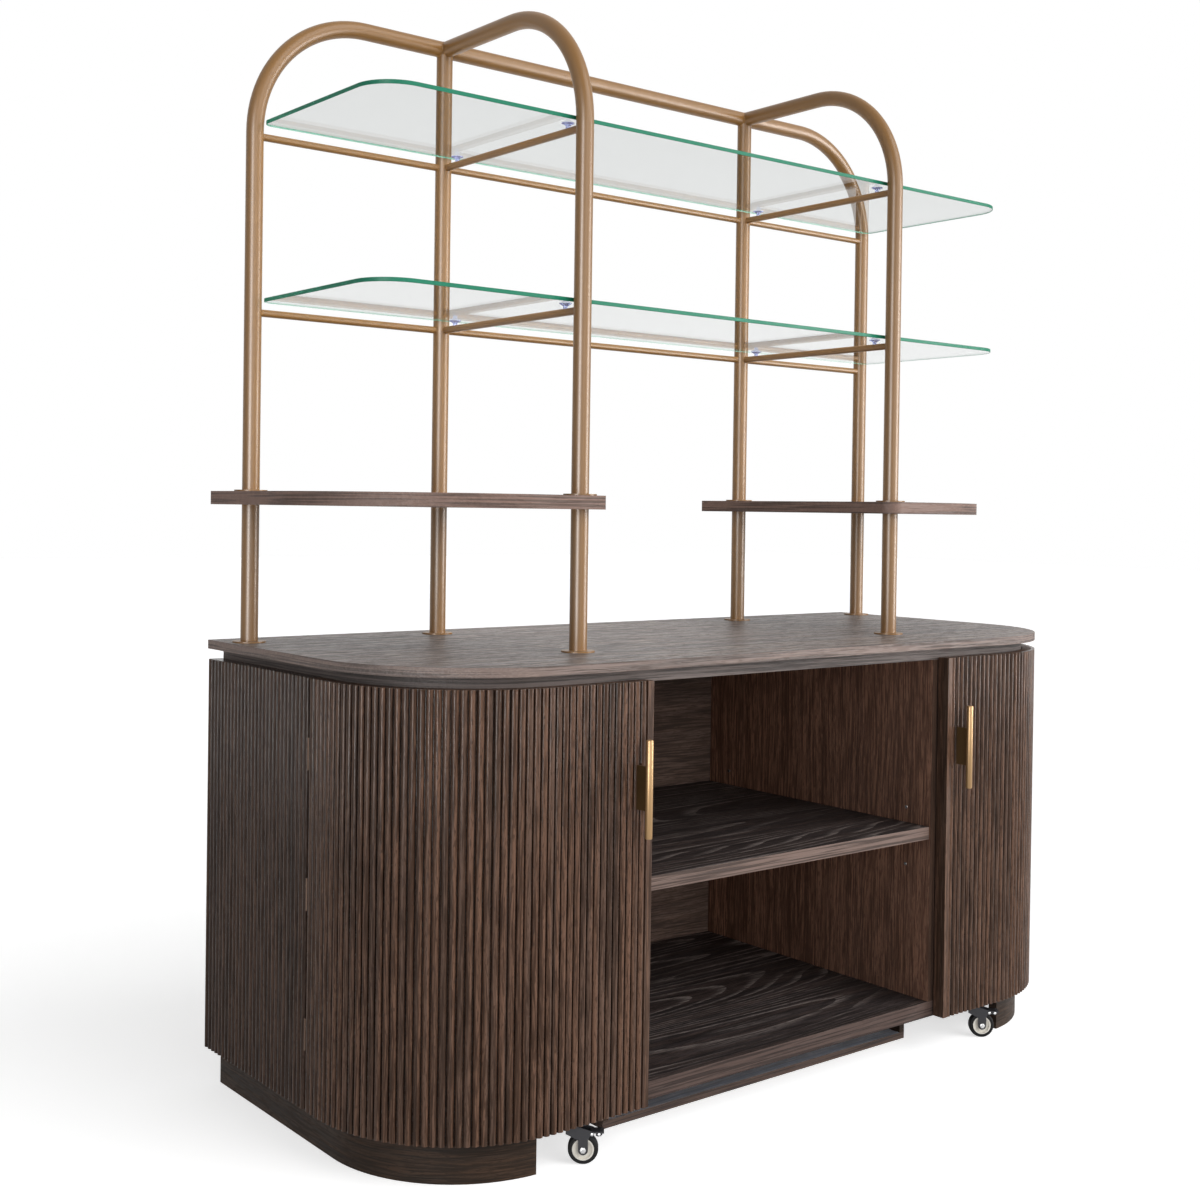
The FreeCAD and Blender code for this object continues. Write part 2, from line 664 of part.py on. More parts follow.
def caster_fork(name):
    """The swivelling fork: a top plate and two cheeks that carry the axle and the pedal's pin."""
    reach = size("fork_reach")
    trail = size("caster_trail")
    wheel = size("wheel_diameter") / 2
    race = size("panel_bottom") - size("swivel_plate") - size("swivel_height")
    top = race - size("swivel_gap")
    pivot_x = size("pedal_pivot_reach")
    pivot_z = size("pedal_pivot_height")
    half_boss = size("pedal_boss") / 2
    arm = size("fork_arm")
    shoulder = wheel + 2 * arm
    inside = size("wheel_width") / 2 + size("fork_gap")
    outline = [(-reach, top), (reach, top), (pivot_x + half_boss, pivot_z + half_boss),
               (pivot_x + half_boss, pivot_z - half_boss), (pivot_x - half_boss, pivot_z - half_boss),
               (trail + arm, shoulder), (trail + arm, wheel), (trail - arm, wheel),
               (trail - arm, shoulder), (-reach, pivot_z)]
    cheeks = []
    for word, start in (("near", -inside - size("fork_plate")), ("far", inside)):
        corners = [FreeCAD.Vector(x, start, z) for x, z in outline]
        face = Part.Face(Part.makePolygon(corners + corners[:1]))
        cheek = doc.addObject("Part::Feature", f"{name}_{word}_cheek")
        cheek.Shape = face.extrude(FreeCAD.Vector(0, size("fork_plate"), 0))
        cheeks.append(cheek)
    for word, start in (("near", "-cheek_outside"), ("far", "cheek_inside")):
        cheeks.append(cylinder(f"{name}_{word}_boss", "fork_arm", "fork_plate", "caster_trail", start,
                               "wheel_radius", ALONG_Y))
    bridge = box(f"{name}_bridge", ("-fork_reach", "fork_reach"), ("-cheek_outside", "cheek_outside"),
                 ("fork_under", "fork_crown"))
    pedal_pin = cylinder(f"{name}_pedal_pin", "pedal_pin / 2", "2 * cheek_outside", "pedal_pivot_reach",
                         "-cheek_outside", "pedal_pivot_height", ALONG_Y)
    holes = [cylinder(f"{name}_axle_hole", "axle_diameter / 2 + pivot_clearance", "2 * cheek_outside",
                      "caster_trail", "-cheek_outside", "wheel_radius", ALONG_Y),
             cylinder(f"{name}_king_hole", "kingpin_diameter / 2 + pivot_clearance", "fork_top", "0",
                      "0", "fork_under")]
    return cut(name, union(f"{name}_solid", cheeks + [bridge, pedal_pin]),
               union(f"{name}_holes", holes))


def caster_tyre(name):
    """The tyre: a ring with rounded shoulders."""
    tread = cylinder(f"{name}_tread", "wheel_radius", "wheel_width - 2 * tyre_round", "caster_trail",
                     "tyre_round - half_wheel", "wheel_radius", ALONG_Y)
    wall = cylinder(f"{name}_wall", "wheel_radius - tyre_round", "wheel_width", "caster_trail",
                    "-half_wheel", "wheel_radius", ALONG_Y)
    shoulders = []
    for sign in ("-", ""):
        shoulder = doc.addObject("Part::Torus", f"{name}_shoulder_{len(shoulders)}")
        shoulder.Placement = FreeCAD.Placement(FreeCAD.Vector(), ALONG_Y)
        bind(shoulder, Radius1="wheel_radius - tyre_round", Radius2="tyre_round")
        place(shoulder, "caster_trail", f"{sign}(half_wheel - tyre_round)", "wheel_radius")
        shoulders.append(shoulder)
    seat = cylinder(f"{name}_seat", "hub_diameter / 2", "wheel_width", "caster_trail", "-half_wheel",
                    "wheel_radius", ALONG_Y)
    return cut(name, union(f"{name}_solid", [tread, wall] + shoulders), seat)


def caster_hub(name):
    """The hub, dished on both faces round a boss, with the axle's bore."""
    disc = cylinder(f"{name}_disc", "hub_diameter / 2", "wheel_width", "caster_trail", "-half_wheel",
                    "wheel_radius", ALONG_Y)
    removed = [cylinder(f"{name}_bore", "axle_diameter / 2 + pivot_clearance", "wheel_width",
                        "caster_trail",
                        "-half_wheel", "wheel_radius", ALONG_Y)]
    for word, start in (("near", "-half_wheel"), ("far", "half_wheel - hub_dish")):
        dish = cylinder(f"{name}_{word}_dish", "hub_diameter / 2 - hub_dish", "hub_dish",
                        "caster_trail", start,
                        "wheel_radius", ALONG_Y)
        boss = cylinder(f"{name}_{word}_boss", "axle_diameter / 2 + hub_dish", "hub_dish",
                        "caster_trail", start,
                        "wheel_radius", ALONG_Y)
        removed.append(cut(f"{name}_{word}_ring", dish, boss))
    return cut(name, disc, union(f"{name}_removed", removed))


def caster_axle(name):
    """The axle bolt with its head and nut outside the fork."""
    shank = cylinder(f"{name}_shank", "axle_diameter / 2", "2 * cheek_outside", "caster_trail",
                     "-cheek_outside", "wheel_radius", ALONG_Y)
    head = cylinder(f"{name}_head", "axle_head / 2", "axle_head_height", "caster_trail",
                    "-cheek_outside - axle_head_height", "wheel_radius", ALONG_Y)
    nut = cylinder(f"{name}_nut", "axle_head / 2", "axle_head_height", "caster_trail", "cheek_outside",
                   "wheel_radius", ALONG_Y)
    return union(name, [shank, head, nut])


def caster_pedal(name):
    """The brake pedal with two rivets on its plate."""
    width = "(cheek_inside - pedal_side_gap)"
    top = "(pedal_pivot_height + pedal_boss / 2)"
    boss = cylinder(f"{name}_boss", "pedal_boss / 2", f"2 * {width}", "pedal_pivot_reach", f"-{width}",
                    "pedal_pivot_height", ALONG_Y)
    plate = box(f"{name}_plate", ("pedal_pivot_reach", "pedal_pivot_reach + pedal_length"),
                (f"-{width}", width),
                (f"{top} - pedal_plate", top))
    pieces = [boss, plate]
    for sign in ("-", ""):
        pieces.append(cylinder(f"{name}_rivet_{len(pieces)}", "pedal_rivet / 2", "pedal_plate / 3",
                               "pedal_pivot_reach + pedal_length - pedal_rivet", f"{sign}{width} / 2",
                               top))
    bore = cylinder(f"{name}_bore", "pedal_pin / 2 + pivot_clearance", f"2 * {width}",
                    "pedal_pivot_reach",
                    f"-{width}", "pedal_pivot_height", ALONG_Y)
    return cut(name, union(f"{name}_solid", pieces), bore)


CASTER_PIECES = {"plate": caster_plate, "fork": caster_fork, "tyre": caster_tyre, "hub": caster_hub,
                 "axle": caster_axle, "pedal": caster_pedal}
for word, sign in (("left", "-"), ("right", "")):
    for piece, make in CASTER_PIECES.items():
        node(set_on_door(make(f"{word}_caster_{piece}"), sign))

# Hutch: side shelves, then the posts below and above them.
side_shelf_blank = rounded_board("side_shelf_blank", ("-side_plane", "-side_shelf_inner"),
                                 ("-post_front - side_shelf_margin", "side_shelf_rear"),
                                 ("side_shelf_level - side_shelf_thickness", "side_shelf_level"),
                                 [([(-1, -1)], "side_shelf_radius"), ([(1, -1)], "side_shelf_corner")])
LEFT_POSTS = [post for post in POSTS if post.startswith("left")]
left_side_shelf = node(cut("left_side_shelf", side_shelf_blank,
                           stud_holes("side_shelf", LEFT_POSTS,
                                      "side_shelf_level - side_shelf_thickness",
                                      "side_shelf_level")))
node(mirrored("right_side_shelf", left_side_shelf))


def tube(name, legs):
    """A round tube of the posts' section along one or more legs that meet end to end."""
    layers = []
    for layer, radius in (("wall", "post_radius"), ("hollow", "(post_radius - post_wall)")):
        pieces = [leg(f"{name}_{layer}_{number}", radius) for number, leg in enumerate(legs)]
        layers.append(union(f"{name}_{layer}", pieces) if len(pieces) > 1 else pieces[0])
    return cut(name, *layers)


def upright(x, y, low, high):
    """A vertical leg of a tube."""
    return lambda name, radius: cylinder(name, radius, f"({high}) - ({low})", x, y, low)


def bend(x, y, turn):
    """A quarter bend of a tube up to the level of the top rail."""
    def make(name, radius):
        ring = doc.addObject("Part::Torus", name)
        ring.Placement = FreeCAD.Placement(FreeCAD.Vector(), turn)
        ring.Angle3 = 90
        bind(ring, Radius1="bend_radius", Radius2=radius)
        return place(ring, x, y, "bend_start")
    return make


LOWER_POST = ("worktop_height + rosette_thickness", "side_shelf_level - side_shelf_thickness")
node(group("lower_posts", [tube(f"{post}_lower_post", [upright(x, y, *LOWER_POST)])
                           for post, (x, y) in POSTS.items()]))

rosettes = []
studs = []
ROSETTE_LEVELS = {"worktop": "worktop_height", "shelf": "side_shelf_level"}
STUD_DEPTHS = {"worktop": "worktop_thickness", "shelf": "side_shelf_thickness"}
for level, base in ROSETTE_LEVELS.items():
    for post, (x, y) in POSTS.items():
        disc = cylinder(f"{post}_{level}_disc", "rosette_diameter / 2", "rosette_thickness", x, y, base)
        hole = cylinder(f"{post}_{level}_disc_hole", "stud_diameter / 2 + stud_clearance",
                        "rosette_thickness",
                        x, y, base)
        rosettes.append(cut(f"{post}_{level}_rosette", disc, hole))
        studs.append(cylinder(f"{post}_{level}_stud", "stud_diameter / 2",
                              f"{STUD_DEPTHS[level]} + stud_reach",
                              x, y, f"{base} - {STUD_DEPTHS[level]}"))
node(group("rosettes", rosettes))
node(group("post_studs", studs))

# The rear frame: end tubes that bend into the top rail, and inner posts under it.
TURN_TO_RAIL = FreeCAD.Rotation(FreeCAD.Vector(-1, 0, 0), UP, FreeCAD.Vector(0, 1, 0), "XYZ")
TURN_TO_REAR = FreeCAD.Rotation(FreeCAD.Vector(0, -1, 0), UP, FreeCAD.Vector(-1, 0, 0), "XYZ")
left_end_tube = node(tube("left_end_tube",
                          [upright("-post_outer", "post_rear", "upper_post_foot", "bend_start"),
                                            bend("-rail_end", "post_rear", TURN_TO_RAIL)]))
node(mirrored("right_end_tube", left_end_tube))


def top_run(name, radius):
    """The straight leg of the top rail."""
    return cylinder(name, radius, "2 * rail_end", "-rail_end", "post_rear", "top_rail_level", ALONG_X)


def arch_run(name, radius):
    """The level leg of a front arch, from its bend back to the top rail."""
    return cylinder(name, radius, "post_front + post_rear - bend_radius", "-post_inner",
                    "bend_radius - post_front", "top_rail_level", ALONG_Y)


node(tube("top_rail", [top_run]))
arch_tube = tube("arch_tube", [upright("-post_inner", "-post_front", "upper_post_foot", "bend_start"),
                               bend("-post_inner", "bend_radius - post_front", TURN_TO_REAR), arch_run])
left_front_arch = node(cut("left_front_arch", arch_tube, top_run("arch_cope", "post_radius")))
node(mirrored("right_front_arch", left_front_arch))
inner_tube = tube("inner_tube",
                  [upright("-post_inner", "post_rear", "upper_post_foot", "top_rail_level")])
inner_cope = union("inner_cope",
                   [top_run("inner_cope_rail", "post_radius"),
                    arch_run("inner_cope_arch", "post_radius")])
left_inner_post = node(cut("left_inner_post", inner_tube, inner_cope))
node(mirrored("right_inner_post", left_inner_post))

# Rails between the rear posts and arms to the front posts, coped to the tubes.
RAIL_LEVELS = {"lower": "(worktop_height + lower_rail_height)",
               "upper": "(worktop_height + upper_rail_height)"}
REAR_SPANS = {"left": ("-post_outer", "-post_inner"), "middle": ("-post_inner", "post_inner"),
              "right": ("post_inner", "post_outer")}
post_cores = union("post_cores",
                   [upright(x, y, "upper_post_foot", "bend_start")(f"{post}_core", "post_radius")
                                  for post, (x, y) in POSTS.items()])
rails = []
cups = []
for level, z in RAIL_LEVELS.items():
    for word, (start, end) in REAR_SPANS.items():
        rod = cylinder(f"{level}_{word}_rod", "rail_radius", f"({end}) - ({start})", start, "post_rear",
                       z, ALONG_X)
        rails.append(cut(f"{level}_{word}_rail", rod, post_cores))
    for word, sign in (("left", "-"), ("right", "")):
        rod = cylinder(f"{level}_{word}_arm_rod", "rail_radius", "post_front + post_rear",
                       f"{sign}post_inner",
                       "-post_front", z, ALONG_Y)
        rails.append(cut(f"{level}_{word}_arm", rod, post_cores))
        for spot, y in (("front", "cup_post_gap - post_front"), ("rear", "post_rear - cup_post_gap")):
            name = f"{level}_{word}_{spot}_cup"
            stem = cylinder(f"{name}_stem", "cup_stem / 2", "rail_radius + cup_height",
                            f"{sign}post_inner", y, z)
            flare = doc.addObject("Part::Cone", f"{name}_flare")
            bind(flare, Radius1="cup_stem / 2", Radius2="cup_diameter / 2", Height="cup_flare")
            place(flare, f"{sign}post_inner", y, f"{z} + rail_radius + cup_height - cup_flare")
            cups.append(cut(name, union(f"{name}_solid", [stem, flare]), rod))
node(group("shelf_rails", rails))
node(group("suction_cups", cups))

for level, z in RAIL_LEVELS.items():
    low = f"({z} + rail_radius + cup_height)"
    node(rounded_board(f"{level}_glass_shelf", ("-glass_half_length", "glass_half_length"),
                       ("post_radius + glass_post_gap - post_front",
                        "post_rear - post_radius - glass_post_gap"),
                       (low, f"{low} + glass_thickness"),
                       [(FRONT_CORNERS, "glass_corner"), (REAR_CORNERS, "glass_rear_corner")]))

doc.recompute()

for thing in doc.Objects:
    if "Invalid" in thing.State or "Error" in thing.State:
        raise RuntimeError(f"{thing.Label} failed: {thing.State}")
for sub_part in nodes:
    if sub_part.Shape.isNull() or not sub_part.Shape.isValid():
        raise RuntimeError(f"{sub_part.Label} has no valid shape")

os.makedirs("parts", exist_ok=True)
for sub_part in nodes:
    sub_part.Shape.exportStep(f"parts/{sub_part.Label}.step")
    print(sub_part.Label, len(sub_part.Shape.Solids), round(sub_part.Shape.Volume))
print(len(nodes), "nodes")
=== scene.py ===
"""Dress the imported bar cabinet: oak, bronze tube, glass and casters, with studio light and the camera.

The frame gives every piece its place in metres. +Z is up, the doors face -Y and the floor is at Z = 0.
"""

import logging
import math
from dataclasses import dataclass, replace
from enum import Enum
from typing import Callable, Sequence

import bmesh
import bpy
from mathutils import Matrix, Vector


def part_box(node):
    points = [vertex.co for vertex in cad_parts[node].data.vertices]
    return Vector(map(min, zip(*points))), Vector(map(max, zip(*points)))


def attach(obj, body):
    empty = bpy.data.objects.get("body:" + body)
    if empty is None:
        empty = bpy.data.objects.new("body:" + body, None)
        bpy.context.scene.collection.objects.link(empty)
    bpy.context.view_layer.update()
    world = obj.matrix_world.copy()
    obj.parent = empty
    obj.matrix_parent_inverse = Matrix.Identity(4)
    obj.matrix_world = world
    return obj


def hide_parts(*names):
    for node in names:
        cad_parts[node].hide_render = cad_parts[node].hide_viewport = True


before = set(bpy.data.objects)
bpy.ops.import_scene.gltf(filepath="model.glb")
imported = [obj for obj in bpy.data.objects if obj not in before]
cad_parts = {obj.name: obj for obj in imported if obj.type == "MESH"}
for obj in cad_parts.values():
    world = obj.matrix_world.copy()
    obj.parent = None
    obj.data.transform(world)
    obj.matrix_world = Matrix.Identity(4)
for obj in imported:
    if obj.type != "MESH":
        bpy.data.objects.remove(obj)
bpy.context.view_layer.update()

LOG = logging.getLogger("bar_cabinet")
Colour = tuple[float, float, float]
Point = tuple[float, float, float]
Spot = tuple[float, float]
Node = bpy.types.Node
Socket = bpy.types.NodeSocket
Mesh = bmesh.types.BMesh

MM = 0.001
SHARP_ANGLE = math.radians(35)
# Near-black colour of the painted shade in grooves and inner corners.
GROOVE_SHADE_COLOUR: Colour = (0.010, 0.006, 0.0045)


class GrainAxis(Enum):
    """The direction that a board's grain runs; ROUND follows a bent board on the level."""

    ALONG_X = "x"
    ALONG_Z = "z"
    ROUND = "round"


class Side(Enum):
    """The two mirrored halves of the cabinet, with the sign of X."""

    LEFT = -1
    RIGHT = 1

    @property
    def word(self) -> str:
        """The prefix of this side's nodes and bodies."""
        return self.name.lower()


class Slot(Enum):
    """Names of the record's material slots."""

    BRONZE_TUBE = "bronze_tube"
    HANDLE_GOLD = "handle_gold"
    SHELF_GLASS = "shelf_glass"
    CLEAR_CUP = "clear_cup"
    ZINC_STEEL = "zinc_steel"
    CASTER_BLACK = "caster_black"


class Graph:
    """Adds nodes to one shader tree and joins them."""

    def __init__(self, tree: bpy.types.NodeTree) -> None:
        """Keep the tree that the nodes go into."""
        self.tree = tree

    @classmethod
    def fresh(cls, owner: bpy.types.Material | bpy.types.World) -> "Graph":
        """Return the graph of a material or a world, emptied of its first nodes.

        Args:
            owner: The material or world.

        Returns:
            Its graph.
        """
        owner.use_nodes = True
        owner.node_tree.nodes.clear()
        return cls(owner.node_tree)

    def add(self, kind: str, inputs: dict[str | int, object] | None = None, **settings: object) -> Node:
        """Add one node.

        Args:
            kind: The node's type name without the "ShaderNode" prefix.
            inputs: Values or output sockets for its inputs, by name or number.
            settings: Properties of the node.

        Returns:
            The new node.
        """
        made = self.tree.nodes.new(f"ShaderNode{kind}")
        for name, value in settings.items():
            setattr(made, name, value)
        for key, value in (inputs or {}).items():
            self.feed(made.inputs[key], value)
        return made

    def feed(self, socket: Socket, value: object) -> None:
        """Give an input socket a value or a link from an output socket.

        Args:
            socket: The input socket.
            value: A value, or the output socket to link.
        """
        if isinstance(value, Socket):
            self.tree.links.new(value, socket)
        elif socket.type == "RGBA" and len(value) == 3:
            socket.default_value = (*value, 1.0)
        else:
            socket.default_value = value

    def maths(self, operation: str, *values: object) -> Socket:
        """Return the result of a Math node on values or sockets."""
        return self.add("Math", dict(enumerate(values)), operation=operation).outputs[0]

    def times(self, first: object, second: object) -> Socket:
        """Return the product of two values or sockets."""
        return self.maths("MULTIPLY", first, second)

    def plus(self, first: object, second: object) -> Socket:
        """Return the sum of two values or sockets."""
        return self.maths("ADD", first, second)

    def vector(self, operation: str, *values: object) -> Socket:
        """Return the result of a Vector Math node on vectors or sockets."""
        return self.add("VectorMath", dict(enumerate(values)), operation=operation).outputs[0]

    def dot(self, first: Socket, second: Socket) -> Socket:
        """Return the dot product of two vectors."""
        return self.add("VectorMath", {0: first, 1: second}, operation="DOT_PRODUCT").outputs["Value"]

    def noise(self, where: Socket, stretch: Point, detail: float) -> Socket:
        """Return a noise value.

        Args:
            where: Coordinates in metres.
            stretch: Cells per metre along each axis.
            detail: The noise's detail.

        Returns:
            The noise's factor socket.
        """
        cells = self.vector("MULTIPLY", where, stretch)
        return self.add("TexNoise", {"Vector": cells, "Scale": 1.0, "Detail": detail}).outputs["Fac"]

    def ramp(self, value: Socket, low: float, high: float) -> Socket:
        """Return a smooth 0 to 1 step of a value between two levels.

        Args:
            value: The value's socket.
            low: The level that gives 0.
            high: The level that gives 1.

        Returns:
            The step's socket.
        """
        step = self.add("MapRange", {"Value": value, "From Min": low, "From Max": high},
                        interpolation_type="SMOOTHSTEP")
        return step.outputs["Result"]

    def mix(self, share: object, first: object, second: object, blend: str = "MIX") -> Socket:
        """Return a mix of two colours.

        Args:
            share: How much of the second colour there is.
            first: The first colour or its socket.
            second: The second colour or its socket.
            blend: The blend type.

        Returns:
            The mixed colour's socket.
        """
        mixer = self.add("Mix", data_type="RGBA", blend_type=blend)
        for name, value in (("Factor_Float", share), ("A_Color", first), ("B_Color", second)):
            self.feed(next(s for s in mixer.inputs if s.identifier == name), value)
        return next(s for s in mixer.outputs if s.identifier == "Result_Color")

    def bump(self, shader: Node, height: Socket, distance: float, strength: float,
             normal: Socket | None = None) -> None:
        """Raise a height on a shader's surface.

        Args:
            shader: The shader whose normal is bent.
            height: The height, from 0 to 1.
            distance: How far a height of 1 stands out, in metres.
            strength: How much of the bump shows.
            normal: The normal to start from, where it isn't the surface's own.
        """
        made = self.add("Bump", {"Height": height, "Distance": distance, "Strength": strength})
        if normal is not None:
            self.feed(made.inputs["Normal"], normal)
        self.feed(shader.inputs["Normal"], made.outputs["Normal"])


class EffectGroups:
    """The shader groups that several finishes share, each built once."""

    made: dict[str, bpy.types.NodeTree] = {}

    @classmethod
    def get(cls, name: str, build: Callable[[Graph, Node, Node], None],
            inputs: Sequence[tuple[str, str]], outputs: Sequence[tuple[str, str]]) -> bpy.types.NodeTree:
        """Return a group, and build it on its first use.

        Args:
            name: The group's name.
            build: Adds the nodes between the group's input and output nodes.
            inputs: Names and kinds of the input sockets.
            outputs: Names and kinds of the output sockets.

        Returns:
            The node group.
        """
        if name not in cls.made:
            tree = bpy.data.node_groups.new(name, "ShaderNodeTree")
            for direction, sockets in (("INPUT", inputs), ("OUTPUT", outputs)):
                for label, kind in sockets:
                    tree.interface.new_socket(label, in_out=direction, socket_type=f"NodeSocket{kind}")
            start = tree.nodes.new("NodeGroupInput")
            end = tree.nodes.new("NodeGroupOutput")
            build(Graph(tree), start, end)
            cls.made[name] = tree
        return cls.made[name]

    @classmethod
    def oak_grain(cls) -> bpy.types.NodeTree:
        """Grain along X: slow streaks, fine fibres, pores and the arched figure of veneer leaves.

        Returns:
            The node group.
        """
        def build(graph: Graph, start: Node, end: Node) -> None:
            """Add the grain's nodes.

            Args:
                graph: The group's graph.
                start: Its input node.
                end: Its output node.
            """
            where = start.outputs["Coordinates"]
            wander = graph.add("TexNoise", {"Vector": graph.vector("MULTIPLY", where, (1.6, 7.0, 7.0)),
                                            "Scale": 1.0, "Detail": 2.0}).outputs["Color"]
            centred = graph.vector("SUBTRACT", wander, (0.5, 0.5, 0.5))
            drift = graph.vector("MULTIPLY", centred, (0.0, 0.03, 0.03))
            fibre_place = graph.vector("ADD", where, drift)
            streaks = graph.noise(fibre_place, (1.4, 62.0, 62.0), 2.0)
            strips = graph.ramp(graph.noise(where, (0.4, 76.0, 76.0), 1.0), 0.45, 0.58)
            fibres = graph.noise(fibre_place, (9.0, 300.0, 300.0), 3.0)
            fine = graph.ramp(graph.noise(fibre_place, (48.0, 430.0, 430.0), 1.0), 0.54, 0.66)
            flecks = graph.ramp(graph.noise(fibre_place, (17.0, 210.0, 210.0), 1.0), 0.53, 0.62)
            pores = graph.maths("MAXIMUM", fine, graph.times(flecks, start.outputs["Flecks"]))
            swirl = graph.noise(where, (0.45, 5.0, 5.0), 0.7)
            rings = graph.maths("FRACT", graph.times(swirl, start.outputs["Rings"]))
            broken = graph.ramp(graph.noise(fibre_place, (6.0, 190.0, 190.0), 2.0), 0.34, 0.52)
            patches = graph.ramp(graph.noise(where, (1.1, 4.5, 4.5), 1.0), 0.36, 0.62)
            crest = graph.times(graph.ramp(rings, 0.58, 0.98), graph.times(broken, patches))
            figure = graph.times(crest, start.outputs["Figure"])
            ground = graph.plus(graph.times(streaks, 0.35), graph.times(fibres, 0.65))
            warm = graph.mix(graph.ramp(ground, 0.40, 0.60), start.outputs["Dark"], start.outputs["Mid"])
            cooled = graph.times(strips, start.outputs["Cast Amount"])
            body = graph.mix(cooled, warm, start.outputs["Cast"], "MULTIPLY")
            lined = graph.mix(figure, body, start.outputs["Light"])
            depth = graph.times(pores, start.outputs["Pores"])
            graph.feed(end.inputs["Color"], graph.mix(depth, lined, start.outputs["Dark"]))
            relief = graph.plus(graph.times(fibres, 0.6), graph.times(figure, 0.3))
            graph.feed(end.inputs["Height"], graph.maths("SUBTRACT", relief, depth))
            rough = graph.plus(graph.times(fibres, 0.22), graph.times(depth, 0.2))
            graph.feed(end.inputs["Roughness"], rough)

        return cls.get("oak_grain", build,
                       [("Coordinates", "Vector"), ("Dark", "Color"), ("Mid", "Color"), ("Light", "Color"),
                        ("Cast", "Color"), ("Cast Amount", "Float"), ("Figure", "Float"), ("Rings", "Float"),
                        ("Pores", "Float"), ("Flecks", "Float")],
                       [("Color", "Color"), ("Roughness", "Float"), ("Height", "Float")])

    @classmethod
    def board_edge(cls) -> bpy.types.NodeTree:
        """A mask of a board's narrow faces, which carry an edge band, and the band's long fibres.

        Returns:
            The node group.
        """
        def build(graph: Graph, start: Node, end: Node) -> None:
            """Add the mask's nodes.

            Args:
                graph: The group's graph.
                start: Its input node.
                end: Its output node.
            """
            facing = graph.dot(graph.add("TexCoord").outputs["Normal"], start.outputs["Broad"])
            narrow = graph.ramp(graph.maths("ABSOLUTE", facing), 0.85, 0.45)
            graph.feed(end.inputs["Mask"], graph.times(narrow, start.outputs["Amount"]))
            lines = graph.noise(start.outputs["Coordinates"], (4.0, 4.0, 260.0), 3.0)
            graph.feed(end.inputs["Fibres"], graph.ramp(lines, 0.40, 0.55))

        return cls.get("board_edge", build,
                       [("Coordinates", "Vector"), ("Broad", "Vector"), ("Amount", "Float")],
                       [("Mask", "Float"), ("Fibres", "Float")])

    @classmethod
    def edge_rub(cls) -> bpy.types.NodeTree:
        """A mask of corners where the stain is rubbed thin, and the normal that rounds them.

        Returns:
            The node group.
        """
        def build(graph: Graph, start: Node, end: Node) -> None:
            """Add the mask's nodes.

            Args:
                graph: The group's graph.
                start: Its input node.
                end: Its output node.
            """
            rounded = graph.add("Bevel", {"Radius": start.outputs["Width"]}, samples=4).outputs["Normal"]
            graph.feed(end.inputs["Normal"], rounded)
            corner = graph.ramp(graph.dot(rounded, graph.add("NewGeometry").outputs["Normal"]), 0.985, 0.8)
            patchy = graph.ramp(graph.noise(start.outputs["Coordinates"], (34.0, 34.0, 34.0), 3.0), 0.3, 0.7)
            rubbed = graph.times(corner, graph.maths("MULTIPLY_ADD", patchy, 0.7, 0.3))
            graph.feed(end.inputs["Mask"], graph.times(rubbed, start.outputs["Amount"]))

        return cls.get("edge_rub", build,
                       [("Coordinates", "Vector"), ("Width", "Float"), ("Amount", "Float")],
                       [("Mask", "Float"), ("Normal", "Vector")])

    @classmethod
    def groove_shade(cls) -> bpy.types.NodeTree:
        """A mask of painted shade in grooves and inner corners, from ambient occlusion.

        Returns:
            The node group.
        """
        def build(graph: Graph, start: Node, end: Node) -> None:
            """Add the mask's nodes.

            Args:
                graph: The group's graph.
                start: Its input node.
                end: Its output node.
            """
            open_sky = graph.add("AmbientOcclusion", {"Distance": start.outputs["Reach"]}, samples=6,
                                 only_local=True).outputs["AO"]
            painted_shade_depth = graph.ramp(open_sky, 0.85, 0.3)
            graph.feed(end.inputs["Mask"], graph.times(painted_shade_depth, start.outputs["Amount"]))

        return cls.get("groove_shade", build, [("Reach", "Float"), ("Amount", "Float")], [("Mask", "Float")])

    @classmethod
    def handling_marks(cls) -> bpy.types.NodeTree:
        """Soft smudges and specks from handling and dust.

        Returns:
            The node group.
        """
        def build(graph: Graph, start: Node, end: Node) -> None:
            """Add the marks' nodes.

            Args:
                graph: The group's graph.
                start: Its input node.
                end: Its output node.
            """
            where = start.outputs["Coordinates"]
            smudge = graph.ramp(graph.noise(where, (9.0, 9.0, 6.0), 4.0), 0.4, 0.75)
            specks = graph.ramp(graph.noise(where, (420.0, 420.0, 420.0), 2.0), 0.6, 0.75)
            both = graph.plus(graph.times(smudge, 0.7), graph.times(specks, 0.3))
            graph.feed(end.inputs["Mask"], graph.times(both, start.outputs["Amount"]))

        return cls.get("handling_marks", build, [("Coordinates", "Vector"), ("Amount", "Float")],
                       [("Mask", "Float")])

    @classmethod
    def metal_grain(cls) -> bpy.types.NodeTree:
        """Brush lines along Z and slow patches of tarnish on a metal.

        Returns:
            The node group.
        """
        def build(graph: Graph, start: Node, end: Node) -> None:
            """Add the grain's nodes.

            Args:
                graph: The group's graph.
                start: Its input node.
                end: Its output node.
            """
            where = start.outputs["Coordinates"]
            lines = graph.noise(where, (900.0, 900.0, 14.0), 2.0)
            patches = graph.ramp(graph.noise(where, (14.0, 14.0, 5.0), 3.0), 0.35, 0.7)
            brushed = graph.times(graph.ramp(lines, 0.3, 0.7), start.outputs["Brush"])
            stain = graph.times(patches, start.outputs["Tarnish"])
            both = graph.plus(graph.times(brushed, 0.4), stain)
            graph.feed(end.inputs["Color"], graph.mix(both, start.outputs["Clean"], start.outputs["Stain"]))
            graph.feed(end.inputs["Roughness"], graph.times(both, 0.3))
            graph.feed(end.inputs["Height"], brushed)

